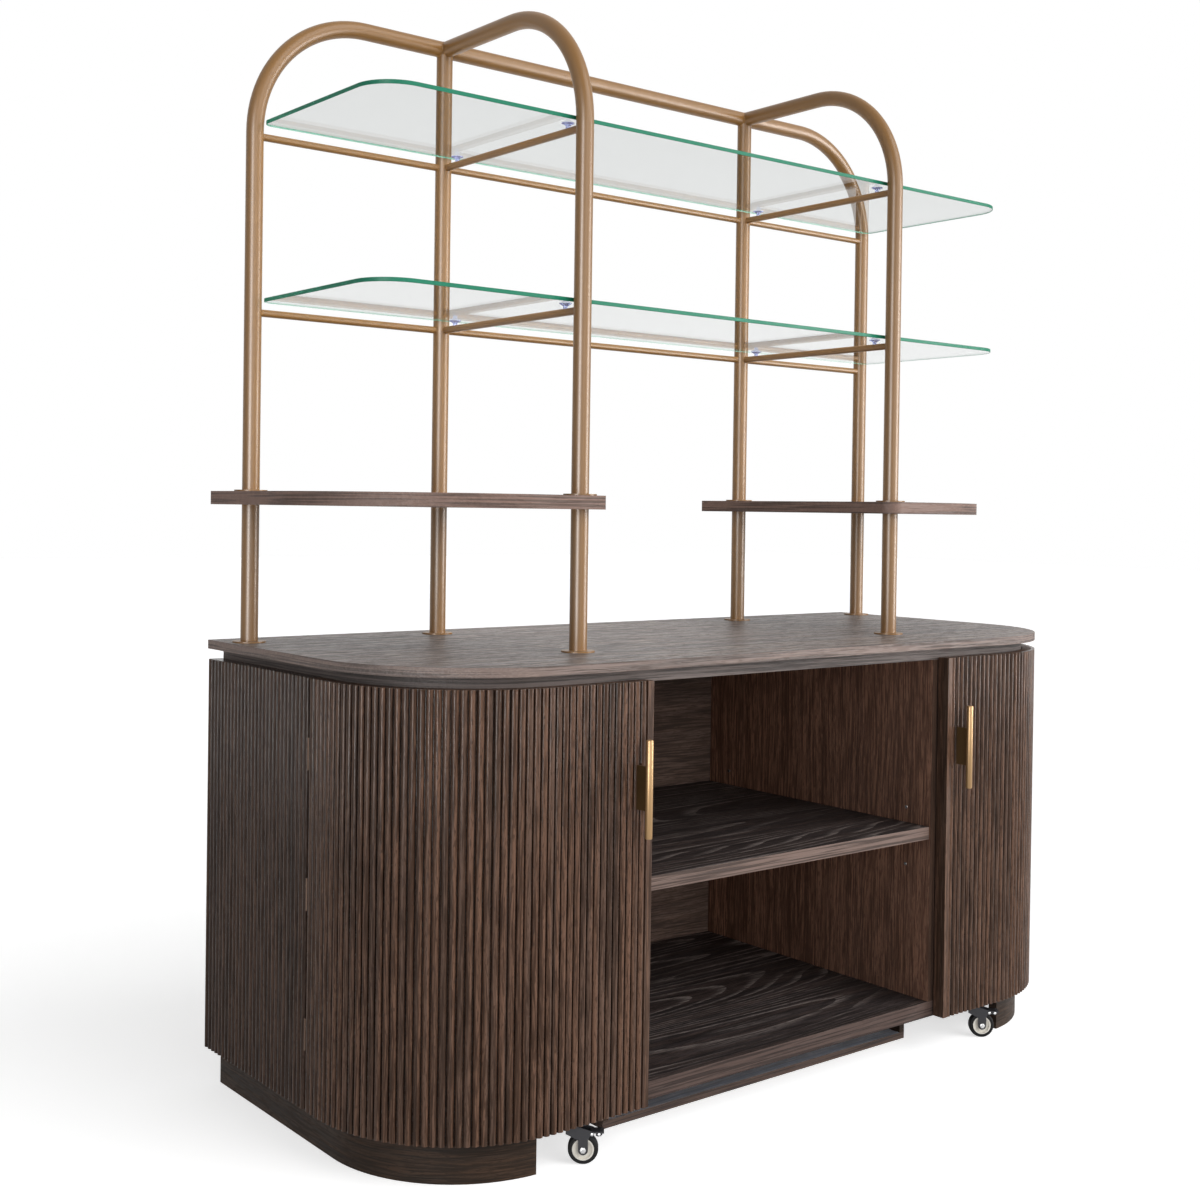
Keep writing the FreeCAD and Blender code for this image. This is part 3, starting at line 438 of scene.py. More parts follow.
        return cls.get("metal_grain", build,
                       [("Coordinates", "Vector"), ("Clean", "Color"), ("Stain", "Color"),
                        ("Tarnish", "Float"), ("Brush", "Float")],
                       [("Color", "Color"), ("Roughness", "Float"), ("Height", "Float")])


class Finish:
    """What every finish does: keep its material and put it on pieces."""

    name: str
    specular: float

    def paint(self, graph: Graph, shader: Node, where: Socket) -> None:
        """Add this finish's own nodes before the shader."""
        raise NotImplementedError

    def material(self) -> bpy.types.Material:
        """Return the finish's material, and make it on its first use.

        Returns:
            The material.
        """
        held = bpy.data.materials.get(self.name)
        if held:
            return held
        made = bpy.data.materials.new(self.name)
        graph = Graph.fresh(made)
        where = graph.add("TexCoord").outputs["Object"]
        shader = graph.add("BsdfPrincipled", {"Specular IOR Level": self.specular})
        self.paint(graph, shader, where)
        graph.add("OutputMaterial", {"Surface": shader.outputs["BSDF"]})
        return made

    def dress(self, *names: str) -> None:
        """Put the finish on CAD nodes of the frame.

        Args:
            names: The nodes' names.
        """
        for name in names:
            self.cover(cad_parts[name])
            LOG.info("%s wears %s", name, self.name)

    def cover(self, piece: bpy.types.Object) -> None:
        """Put the finish on every material slot of a piece.

        Args:
            piece: A CAD node's object or a new piece.
        """
        if not piece.material_slots:
            piece.data.materials.append(None)
        for slot in piece.material_slots:
            slot.link = "OBJECT"
            slot.material = self.material()


def group_node(graph: Graph, tree: bpy.types.NodeTree, inputs: dict[str, object]) -> Node:
    """Place a shared effect in a material.

    Args:
        graph: The material's graph.
        tree: The effect's node group.
        inputs: Values or sockets for the group's inputs.

    Returns:
        The group's node.
    """
    return graph.add("Group", inputs, node_tree=tree)


@dataclass(frozen=True)
class OakFinish(Finish):
    """Stained, wire-brushed oak.

    The colours are linear. edge bands the faces that do not look along broad, and edge_shade darkens the
    band's fibres. cast tints some strips cooler, figure is the strength of the flowing lines and rings their
    density. groove is the strength of the painted shade that darkens grooves and inner corners, short
    shortens the fibres, and origin moves the pattern so that boards differ.
    """

    name: str
    axis: GrainAxis
    dark: Colour
    mid: Colour
    light: Colour
    edge: Colour
    edge_amount: float = 0.0
    edge_dull: float = 0.25
    edge_shade: float = 0.36
    broad: Point = (0.0, 0.0, 1.0)
    cast: Colour = (0.55, 0.70, 0.86)
    cast_amount: float = 0.5
    figure: float = 0.25
    rings: float = 22.0
    pores: float = 0.6
    flecks: float = 0.85
    groove: float = 0.5
    groove_reach: float = 6.0 * MM
    roughness: float = 0.42
    specular: float = 0.22
    relief: float = 0.35 * MM
    rub: float = 0.35
    rub_width: float = 2.0 * MM
    short: float = 1.0
    origin: Point = (0.0, 0.0, 0.0)

    def grain_place(self, graph: Graph, where: Socket) -> Socket:
        """Return coordinates in metres whose X runs along the grain.

        Args:
            graph: The material's graph.
            where: The piece's coordinates in metres.

        Returns:
            The turned and moved coordinates.
        """
        x, y, z = graph.add("SeparateXYZ", {0: where}).outputs
        if self.axis is GrainAxis.ALONG_Z:
            x, z = z, x
        elif self.axis is GrainAxis.ROUND:
            x, y = graph.plus(graph.maths("ABSOLUTE", x), y), 0.0
        laid = graph.add("CombineXYZ", {0: x, 1: y, 2: z}).outputs[0]
        return graph.vector("ADD", laid, self.origin)

    def paint(self, graph: Graph, shader: Node, where: Socket) -> None:
        """Add the grain, the edge band and the rubbed corners.

        Args:
            graph: The material's graph.
            shader: Its Principled shader.
            where: The piece's coordinates in metres.
        """
        laid = self.grain_place(graph, where)
        cells = graph.vector("MULTIPLY", laid, (self.short, 1.0, 1.0))
        grain = group_node(graph, EffectGroups.oak_grain(), {
            "Coordinates": cells, "Dark": self.dark, "Mid": self.mid, "Light": self.light,
            "Cast": self.cast, "Cast Amount": self.cast_amount, "Figure": self.figure, "Rings": self.rings,
            "Pores": self.pores, "Flecks": self.flecks})
        band = group_node(graph, EffectGroups.board_edge(), {
            "Coordinates": laid, "Broad": self.broad, "Amount": self.edge_amount})
        rub = group_node(graph, EffectGroups.edge_rub(), {
            "Coordinates": where, "Width": self.rub_width, "Amount": self.rub})
        shade = group_node(graph, EffectGroups.groove_shade(), {
            "Reach": self.groove_reach, "Amount": self.groove})
        shaded_edge = tuple(self.edge_shade * value for value in self.edge)
        lipping = graph.mix(band.outputs["Fibres"], shaded_edge, self.edge)
        banded = graph.mix(band.outputs["Mask"], grain.outputs["Color"], lipping)
        rubbed = graph.mix(rub.outputs["Mask"], banded, self.edge)
        # Painted shade: the ambient-occlusion mask darkens grooves and inner corners towards a near-black
        # colour.
        graph.feed(shader.inputs["Base Color"], graph.mix(shade.outputs["Mask"], rubbed, GROOVE_SHADE_COLOUR))
        rough = graph.maths("MULTIPLY_ADD", band.outputs["Mask"], self.edge_dull, grain.outputs["Roughness"])
        graph.feed(shader.inputs["Roughness"], graph.plus(rough, self.roughness))
        graph.bump(shader, grain.outputs["Height"], self.relief, strength=0.7, normal=rub.outputs["Normal"])


@dataclass(frozen=True)
class MetalFinish(Finish):
    """A satin or brushed metal with slow patches of tarnish."""

    name: str
    clean: Colour
    stain: Colour
    tarnish: float = 0.4
    brush: float = 0.3
    metallic: float = 1.0
    roughness: float = 0.3
    specular: float = 0.5
    marked: float = 0.1
    relief: float = 0.05 * MM

    def paint(self, graph: Graph, shader: Node, where: Socket) -> None:
        """Add the brush lines, the tarnish and the marks of hands.

        Args:
            graph: The material's graph.
            shader: Its Principled shader.
            where: The piece's coordinates in metres.
        """
        grain = group_node(graph, EffectGroups.metal_grain(), {
            "Coordinates": where, "Clean": self.clean, "Stain": self.stain, "Tarnish": self.tarnish,
            "Brush": self.brush})
        marks = group_node(graph, EffectGroups.handling_marks(), {
            "Coordinates": where, "Amount": self.marked})
        rough = graph.plus(grain.outputs["Roughness"], marks.outputs["Mask"])
        graph.feed(shader.inputs["Base Color"], grain.outputs["Color"])
        graph.feed(shader.inputs["Roughness"], graph.plus(rough, self.roughness))
        shader.inputs["Metallic"].default_value = self.metallic
        graph.bump(shader, grain.outputs["Height"], self.relief, strength=0.4)


@dataclass(frozen=True)
class PlasticFinish(Finish):
    """Moulded plastic or rubber with dust in its grain."""

    name: str
    colour: Colour
    dust: Colour
    dusty: float = 0.35
    roughness: float = 0.4
    specular: float = 0.22
    relief: float = 0.08 * MM

    def paint(self, graph: Graph, shader: Node, where: Socket) -> None:
        """Add the dust and the moulded grain.

        Args:
            graph: The material's graph.
            shader: Its Principled shader.
            where: The piece's coordinates in metres.
        """
        marks = group_node(graph, EffectGroups.handling_marks(), {
            "Coordinates": where, "Amount": self.dusty})
        graph.feed(shader.inputs["Base Color"], graph.mix(marks.outputs["Mask"], self.colour, self.dust))
        graph.feed(shader.inputs["Roughness"], graph.plus(marks.outputs["Mask"], self.roughness))
        grain = graph.noise(where, (1500.0, 1500.0, 1500.0), 2.0)
        graph.bump(shader, grain, self.relief, strength=0.3)


@dataclass(frozen=True)
class GlassFinish(Finish):
    """Clear float glass or clear soft plastic, with faint smears."""

    name: str
    tint: Colour
    smear: Colour
    transmission: float = 1.0
    roughness: float = 0.02
    refraction: float = 1.5
    specular: float = 0.5
    smeared: float = 0.08

    def paint(self, graph: Graph, shader: Node, where: Socket) -> None:
        """Add the smears over the clear body.

        Args:
            graph: The material's graph.
            shader: Its Principled shader.
            where: The piece's coordinates in metres.
        """
        marks = group_node(graph, EffectGroups.handling_marks(), {
            "Coordinates": where, "Amount": self.smeared})
        graph.feed(shader.inputs["Base Color"], graph.mix(marks.outputs["Mask"], self.tint, self.smear))
        graph.feed(shader.inputs["Roughness"], graph.plus(marks.outputs["Mask"], self.roughness))
        shader.inputs["Transmission Weight"].default_value = self.transmission
        shader.inputs["IOR"].default_value = self.refraction


REED_OAK = OakFinish("reed_oak", GrainAxis.ALONG_Z, dark=(0.066, 0.035, 0.022), mid=(0.195, 0.107, 0.070),
                     light=(0.24, 0.155, 0.115), edge=(0.24, 0.17, 0.14), figure=0.0, flecks=0.15,
                     pores=0.8, rub=0.2, rub_width=0.5 * MM, roughness=0.06, specular=0.1, relief=0.12 * MM,
                     groove=0.95, groove_reach=5.0 * MM, short=1.5)
# A darker, cooler copy of the reeded oak for the side panels: painted shade for the side that the key light
# misses.
SHADED_SIDE_REED_OAK = replace(REED_OAK, name="side_reed_oak_painted_shade", dark=(0.056, 0.032, 0.022), mid=(0.138, 0.083, 0.060),
                        specular=0.08)
DOOR_OAK = replace(REED_OAK, name="door_oak", flecks=0.5, figure=0.2, roughness=0.3, groove=0.5, short=0.8)
# Partitions and end boards: the light mid tone is painted light that brightens boards in the shaded bays, and
# the dark edge band is painted shade on their narrow faces in the gaps behind the doors.
SIDE_OAK_PAINTED_LIGHT_AND_SHADE = OakFinish("side_oak_painted_light_and_shade", GrainAxis.ALONG_Z, dark=(0.150, 0.073, 0.046), mid=(0.460, 0.240, 0.158),
                     light=(0.45, 0.26, 0.18), edge=(0.050, 0.028, 0.019), edge_amount=0.9,
                     broad=(1.0, 0.0, 0.0), cast_amount=0.1, figure=0.2, rings=14.0, pores=0.75,
                     specular=0.12, rub=0.0, origin=(0.2, 0.07, 0.0))
BACK_OAK = OakFinish("back_oak", GrainAxis.ALONG_X, dark=(0.060, 0.038, 0.029), mid=(0.165, 0.106, 0.082),
                     light=(0.24, 0.165, 0.13), edge=(0.16, 0.11, 0.09), cast_amount=0.2, figure=0.3,
                     rings=14.0, origin=(0.1, 0.1, 0.2))
SHELF_OAK = OakFinish("shelf_oak", GrainAxis.ALONG_X, dark=(0.017, 0.012, 0.011), mid=(0.064, 0.045, 0.040),
                      light=(0.31, 0.26, 0.24), edge=(0.265, 0.183, 0.153), edge_amount=0.9, figure=0.95,
                      rings=34.0, specular=0.16, origin=(0.62, 0.33, 0.0))
BOTTOM_OAK = replace(SHELF_OAK, name="bottom_oak", mid=(0.082, 0.058, 0.052), edge=(0.112, 0.072, 0.060),
                     origin=(0.85, 0.47, 0.0))
SUBTOP_OAK = OakFinish("subtop_oak", GrainAxis.ALONG_X, dark=(0.050, 0.038, 0.033), mid=(0.190, 0.145, 0.125),
                       light=(0.26, 0.21, 0.18), edge=(0.200, 0.158, 0.143), edge_amount=0.9, figure=0.3,
                       roughness=0.3, specular=0.25, origin=(0.4, 0.02, 0.0))
# The worktop's pale grey-brown tone is partly painted sheen, standing in for the grazing reflection on the
# top; its grain and figure are the oak's own.
TOP_OAK_PAINTED_SHEEN = OakFinish("top_oak", GrainAxis.ALONG_X, dark=(0.055, 0.038, 0.032), mid=(0.430, 0.335, 0.290),
                    light=(0.44, 0.36, 0.32), edge=(0.265, 0.188, 0.158), edge_amount=0.85, figure=0.4,
                    pores=0.8, roughness=0.3, specular=0.36, origin=(0.3, 0.05, 0.0))
HUTCH_OAK = OakFinish("hutch_oak", GrainAxis.ALONG_X, dark=(0.070, 0.045, 0.035), mid=(0.215, 0.142, 0.115),
                      light=(0.29, 0.20, 0.17), edge=(0.33, 0.205, 0.160), edge_amount=0.7, figure=0.25,
                      rings=14.0, roughness=0.3, origin=(0.7, 0.11, 0.0))
PLINTH_OAK = OakFinish("plinth_oak", GrainAxis.ROUND, dark=(0.022, 0.013, 0.008), mid=(0.064, 0.036, 0.022),
                       light=(0.10, 0.064, 0.046), edge=(0.12, 0.078, 0.058), figure=0.15, specular=0.10)
# The toe box's pale blue-grey broad faces are painted light that brightens a recess in deep shade; the brown
# edge band is the oak's own colour.
TOE_OAK_PAINTED_LIGHT = OakFinish("toe_oak_painted_light", GrainAxis.ALONG_X, dark=(0.34, 0.34, 0.37), mid=(0.60, 0.60, 0.65),
                    light=(0.66, 0.66, 0.70), edge=(0.105, 0.062, 0.044), edge_amount=0.97, figure=0.2)
TUBE_BRONZE = MetalFinish("tube_bronze", clean=(0.285, 0.138, 0.033), stain=(0.225, 0.105, 0.024),
                          tarnish=0.12, brush=0.03, metallic=0.0, roughness=0.36, marked=0.03,
                          relief=0.01 * MM)
HINGE_BRONZE = MetalFinish("hinge_bronze", clean=(0.060, 0.040, 0.030), stain=(0.030, 0.020, 0.015),
                           roughness=0.5)
BAR_GOLD = MetalFinish("bar_gold", clean=(0.44, 0.275, 0.132), stain=(0.31, 0.185, 0.084), tarnish=0.25,
                       brush=0.4, metallic=0.3, roughness=0.34, specular=0.2)
BLADE_BRONZE = MetalFinish("blade_bronze", clean=(0.105, 0.060, 0.022), stain=(0.060, 0.033, 0.013),
                           metallic=0.5, roughness=0.4, specular=0.15)
ZINC = MetalFinish("zinc", clean=(0.46, 0.46, 0.46), stain=(0.28, 0.28, 0.29))
CASTER_BLACK = PlasticFinish("caster_black", colour=(0.007, 0.007, 0.009), dust=(0.026, 0.026, 0.028),
                             dusty=0.25, specular=0.08)
TYRE_RUBBER = PlasticFinish("tyre_rubber", colour=(0.010, 0.010, 0.011), dust=(0.04, 0.038, 0.036),
                            roughness=0.5, specular=0.1)
HUB_CREAM = PlasticFinish("hub_cream", colour=(0.90, 0.86, 0.78), dust=(0.62, 0.57, 0.49), dusty=0.25,
                          specular=0.5)
SHELF_GLASS = GlassFinish("shelf_glass_clear", tint=(0.70, 0.715, 0.71), smear=(0.62, 0.64, 0.64),
                          smeared=0.03, roughness=0.0, refraction=1.1)
GLASS_EDGE = GlassFinish("glass_edge_green", tint=(0.022, 0.27, 0.155), smear=(0.06, 0.36, 0.24),
                         transmission=0.12, roughness=0.35, specular=0.05, smeared=0.15)
CUP_CLEAR = GlassFinish("cup_clear", tint=(0.50, 0.55, 0.79), smear=(0.42, 0.47, 0.70), transmission=0.6,
                        roughness=0.2, refraction=1.45, specular=0.2, smeared=0.12)


def new_piece(name: str, mesh: Mesh, body: str, finish: Finish) -> bpy.types.Object:
    """Turn a mesh into a piece that rides on a body.

    Args:
        name: The piece's name.
        mesh: Its geometry in the row frame, which is freed.
        body: The CAD body that it moves with.
        finish: Its finish.

    Returns:
        The new object.
    """
    bmesh.ops.recalc_face_normals(mesh, faces=mesh.faces[:])
    data = bpy.data.meshes.new(name)
    mesh.to_mesh(data)
    mesh.free()
    piece = bpy.data.objects.new(name, data)
    bpy.context.scene.collection.objects.link(piece)
    finish.cover(piece)
    for face in data.polygons:
        face.use_smooth = True
    data.set_sharp_from_angle(angle=SHARP_ANGLE)
    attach(piece, body)
    LOG.info("built %s on %s", name, body)
    return piece


def box_corners(node: str) -> tuple[Vector, Vector]:
    """Return the lowest and highest corner of a CAD node at rest."""
    low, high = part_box(node)
    return Vector(low), Vector(high)


def foot_of(low: Vector, high: Vector) -> Vector:
    """Return the middle of the underside of a box."""
    return Vector(((low.x + high.x) / 2, (low.y + high.y) / 2, low.z))


def circle(steps: int) -> list[Spot]:
    """Return the cosine and the sine of each step round a circle."""
    angles = [2 * math.pi * step / steps for step in range(steps)]
    return [(math.cos(angle), math.sin(angle)) for angle in angles]


def bridge(mesh: Mesh, low: Sequence[bmesh.types.BMVert],
           high: Sequence[bmesh.types.BMVert]) -> list[bmesh.types.BMFace]:
    """Join two rings of a mesh with faces.

    Args:
        mesh: The mesh to add to.
        low: The vertices of the first ring.
        high: As many of the second; a ring that closes an end repeats one vertex.

    Returns:
        The new faces, in order round the rings.
    """
    faces = []
    for step in range(len(low)):
        after = (step + 1) % len(low)
        corners = (low[step], low[after], high[after], high[step])
        faces.append(mesh.faces.new(list(dict.fromkeys(corners))))
    return faces


def turned(mesh: Mesh, profile: Sequence[Spot], place: Matrix, steps: int = 32,
           closed: bool = False) -> None:
    """Add a turned form to a mesh.

    Args:
        mesh: The mesh to add to.
        profile: Radius and height pairs, bottom to top; a radius of 0 closes an end.
        place: Puts the turning axis, local Z, in the row frame.
        steps: Facets round the axis.
        closed: Whether the profile's ends join, as on a ring.
    """
    rows = []
    for radius, height in profile:
        if radius == 0:
            rows.append([mesh.verts.new(place @ Vector((0, 0, height)))] * steps)
            continue
        rows.append([mesh.verts.new(place @ Vector((radius * cosine, radius * sine, height)))
                     for cosine, sine in circle(steps)])
    pairs = list(zip(rows, rows[1:]))
    if closed:
        pairs.append((rows[-1], rows[0]))
    for low, high in pairs:
        bridge(mesh, low, high)


def swept(mesh: Mesh, path: Sequence[Vector], radius: float, steps: int = 8) -> None:
    """Add a round bead along a path.

    Args:
        mesh: The mesh to add to.
        path: Points of the bead's centre line in the row frame.
        radius: The bead's radius.
        steps: Facets round the bead.
    """
    rings = []
    first = None
    for number, point in enumerate(path):
        before = path[max(number - 1, 0)]
        after = path[min(number + 1, len(path) - 1)]
        along = (after - before).normalized()
        if first is None:
            first = along.orthogonal().normalized()
        first = (first - along * first.dot(along)).normalized()
        second = along.cross(first)
        rings.append([mesh.verts.new(point + radius * (cosine * first + sine * second))
                      for cosine, sine in circle(steps)])
    mesh.faces.new(rings[0])
    mesh.faces.new(rings[-1])
    for low, high in zip(rings, rings[1:]):
        bridge(mesh, low, high)


@dataclass
class ReededBase:
    """The fixed base: boards, plinths, reeded sides and the fittings inside."""

    sleeve_radius: float = 3.6 * MM
    sleeve_bore: float = 2.4 * MM
    sleeve_rise: float = 0.7 * MM
    sleeve_depth: float = 3.0 * MM
    sleeve_wall: float = 0.1 * MM
    sleeve_gap: float = 0.05 * MM
    sleeve_steps: int = 24
    pin_spacing: float = 64 * MM

    def dress(self) -> None:
        """Put the oaks and the zinc on the CAD nodes."""
        TOP_OAK_PAINTED_SHEEN.dress("worktop")
        SUBTOP_OAK.dress("subtop")
        SHELF_OAK.dress("middle_shelf", "end_shelves")
        BOTTOM_OAK.dress("bottom_board")
        TOE_OAK_PAINTED_LIGHT.dress("toe_box_floor")
        SIDE_OAK_PAINTED_LIGHT_AND_SHADE.dress("left_partition", "right_partition", "left_end_board", "right_end_board")
        BACK_OAK.dress("back_panel")
        PLINTH_OAK.dress("left_plinth", "right_plinth", "rear_plinth", "toe_box_cheeks")
        SHADED_SIDE_REED_OAK.dress("left_side_panel", "right_side_panel", "left_side_reeding", "right_side_reeding")
        ZINC.dress("shelf_pins")
        HINGE_BRONZE.dress("hinge_jamb_leaves", "hinge_pins")

    def build_sleeves(self) -> None:
        """Line the spare pin holes beside the middle bay with metal sleeves."""
        mesh = bmesh.new()
        bay = box_corners("right_partition")[0].x
        low, high = box_corners("shelf_pins")
        level = (low.z + high.z) / 2
        lines = self.pin_rows(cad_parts["shelf_pins"], bay)
        for side in Side:
            for y in lines:
                for row in (-1, 1):
                    centre = Vector((side.value * bay, y, level + row * self.pin_spacing))
                    turn = Matrix.Rotation(-side.value * math.pi / 2, 4, "Y")
                    self.add_sleeve(mesh, Matrix.Translation(centre) @ turn)
        new_piece("pin_sleeves", mesh, "cabinet", ZINC)

    def pin_rows(self, pins: bpy.types.Object, bay: float) -> list[float]:
        """Return the front and rear lines of the pins that enter the bay at a given X.

        Args:
            pins: The object of the shelf pins.
            bay: The X of the bay's right face.

        Returns:
            The Y of the front line and of the rear line.
        """
        spots = [vertex.co.y for vertex in pins.data.vertices if abs(vertex.co.x) < bay]
        middle = (min(spots) + max(spots)) / 2
        front = [y for y in spots if y < middle]
        rear = [y for y in spots if y > middle]
        return [(min(line) + max(line)) / 2 for line in (front, rear)]

    def add_sleeve(self, mesh: Mesh, place: Matrix) -> None:
        """Add one flanged sleeve whose flange faces local +Z.

        Args:
            mesh: The mesh to add to.
            place: Puts the sleeve in the row frame.
        """
        bore, flange, rise = self.sleeve_bore, self.sleeve_radius, self.sleeve_rise
        outside = bore + self.sleeve_wall
        profile = [(bore, -self.sleeve_depth), (outside, -self.sleeve_depth), (outside, self.sleeve_gap),
                   (flange, self.sleeve_gap), (flange, rise * 0.6), (flange * 0.92, rise), (bore, rise)]
        turned(mesh, profile, place, self.sleeve_steps, closed=True)


@dataclass
class RollingDoor:
    """One curved door with its handle."""

    side: Side
    bar_chamfer: float = 1.6 * MM

    def dress(self) -> None:
        """Put the oak and the bronzes on the door's nodes."""
        word = self.side.word
        DOOR_OAK.dress(f"{word}_door")
        REED_OAK.dress(f"{word}_door_reeding")
        BLADE_BRONZE.dress(f"{word}_handle_blade")
        HINGE_BRONZE.dress(f"{word}_door_leaves")

    def build_bar(self) -> None:
        """Turn the handle bar with rounded ends in place of the plain one."""
        node = f"{self.side.word}_handle_bar"
        low, high = box_corners(node)
        radius = (high.x - low.x) / 2
        height = high.z - low.z
        chamfer = self.bar_chamfer
        shoulder, lift = radius - 0.45 * chamfer, 0.2 * chamfer
        profile = [(0, 0), (radius - chamfer, 0), (shoulder, lift), (radius, chamfer),
                   (radius, height - chamfer), (shoulder, height - lift),
                   (radius - chamfer, height), (0, height)]
        mesh = bmesh.new()
        turned(mesh, profile, Matrix.Translation(foot_of(low, high)))
        bar = new_piece(f"{node}_turned", mesh, f"{self.side.word}_door", BAR_GOLD)
        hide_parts(node)


@dataclass
class Caster:
    """The swivel caster under one door."""

    side: Side
    heading: float = math.radians(-38.7)
    cheek: float = 13.3 * MM
    inner: float = 10.8 * MM
    pivot: Spot = (34 * MM, 57 * MM)
    rivet_radius: float = 3.0 * MM
    rivet_rise: float = 1.2 * MM
    rivet_bed: float = 0.2 * MM
    rivet_steps: int = 20
    dome_steps: int = 4
    ear_outline: tuple[Spot, ...] = (
        (41 * MM, 58.6 * MM), (52 * MM, 58.6 * MM), (53 * MM, 56.5 * MM), (50 * MM, 53.2 * MM),
        (45 * MM, 52.4 * MM), (41 * MM, 54.0 * MM))
    ear_thickness: float = 1.2 * MM
    ear_rivet: Spot = (47 * MM, 56 * MM)
    axle_spot: Spot = (18 * MM, 28 * MM)
    axle_radius: float = 3.0 * MM
    hexagon: tuple[Spot, ...] = (
        (0.0, 1.3 * MM), (2.2 * MM, 1.3 * MM), (2.2 * MM, 3.0 * MM), (4.5 * MM, 3.0 * MM),
        (5.7 * MM, 2.3 * MM), (5.7 * MM, 0.0), (0.0, 0.0))

    def dress(self) -> None:
        """Put the plastics and the zinc on the caster's nodes."""
        word = self.side.word
        CASTER_BLACK.dress(f"{word}_caster_plate", f"{word}_caster_fork", f"{word}_caster_pedal")
        TYRE_RUBBER.dress(f"{word}_caster_tyre")
        HUB_CREAM.dress(f"{word}_caster_hub")

    def place(self) -> Matrix:
        """Return the matrix from the caster's own axes, with the wheel trailing along X, to the row frame.

        Returns:
            The caster's place on the floor, turned to its heading.
        """
        low, high = box_corners(f"{self.side.word}_caster_plate")
        foot = foot_of(low, high)
        return Matrix.Translation((foot.x, foot.y, 0.0)) @ Matrix.Rotation(self.heading, 4, "Z")

    def add_rivet(self, mesh: Mesh, spot: Spot, face: float) -> None:
        """Add a domed rivet head.

        Args:
            mesh: The mesh to add to.
            spot: Its place along the caster's X and Z.
            face: The Y of the face that it stands on; the head points away from the caster's middle.
        """
        angles = [0.5 * math.pi * step / self.dome_steps for step in range(self.dome_steps)]
        dome = [(self.rivet_radius * math.cos(angle), self.rivet_rise * math.sin(angle)) for angle in angles]
        profile = [(0, -self.rivet_bed), (self.rivet_radius, -self.rivet_bed), *dome, (0, self.rivet_rise)]
        turned(mesh, profile, self.facing(spot, face), self.rivet_steps)

    def facing(self, spot: Spot, face: float) -> Matrix:
        """Return the matrix of a turned piece on a side face.

        Args:
            spot: Its place along the caster's X and Z.
            face: The Y of the face; local Z points away from the caster's middle.

        Returns:
            The piece's place in the row frame.
        """
        turn = Matrix.Rotation(-math.copysign(1.0, face) * math.pi / 2, 4, "X")
        return self.place() @ Matrix.Translation((spot[0], face, spot[1])) @ turn

    def build_bolt(self) -> None:
        """Turn the axle bolt with socketed hexagon heads in place of the plain axle."""
        word = self.side.word
        mesh = bmesh.new()
        for face in (-self.cheek, self.cheek):
            turned(mesh, self.hexagon, self.facing(self.axle_spot, face), steps=6)
        shank = [(0, 0), (self.axle_radius, 0), (self.axle_radius, -2 * self.cheek), (0, -2 * self.cheek)]
        turned(mesh, shank, self.facing(self.axle_spot, self.cheek), steps=24)
        bolt = new_piece(f"{word}_axle_bolt", mesh, f"{word}_caster_fork", ZINC)
        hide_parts(f"{word}_caster_axle")

    def build_rivets(self) -> None:
        """Set bright rivet heads on the fork's pedal pin and on the pedal's ears."""
        word = self.side.word
        on_fork = bmesh.new()
        on_pedal = bmesh.new()
        for outward in (-1, 1):
            self.add_rivet(on_fork, self.pivot, outward * self.cheek)
            self.add_rivet(on_pedal, self.ear_rivet, outward * self.inner)
        new_piece(f"{word}_pivot_rivets", on_fork, f"{word}_caster_fork", ZINC)
        new_piece(f"{word}_pedal_rivets", on_pedal, f"{word}_caster_pedal", ZINC)

    def build_ears(self) -> None:
        """Hang an ear under each edge of the pedal's plate."""
        mesh = bmesh.new()
        for outward in (-1, 1):
            faces = [outward * self.inner, outward * (self.inner - self.ear_thickness)]
            rings = [[mesh.verts.new(self.place() @ Vector((x, y, z))) for x, z in self.ear_outline]
                     for y in faces]
            for ring in rings:
                mesh.faces.new(ring)
            bridge(mesh, *rings)
        new_piece(f"{self.side.word}_pedal_ears", mesh, f"{self.side.word}_caster_pedal", CASTER_BLACK)


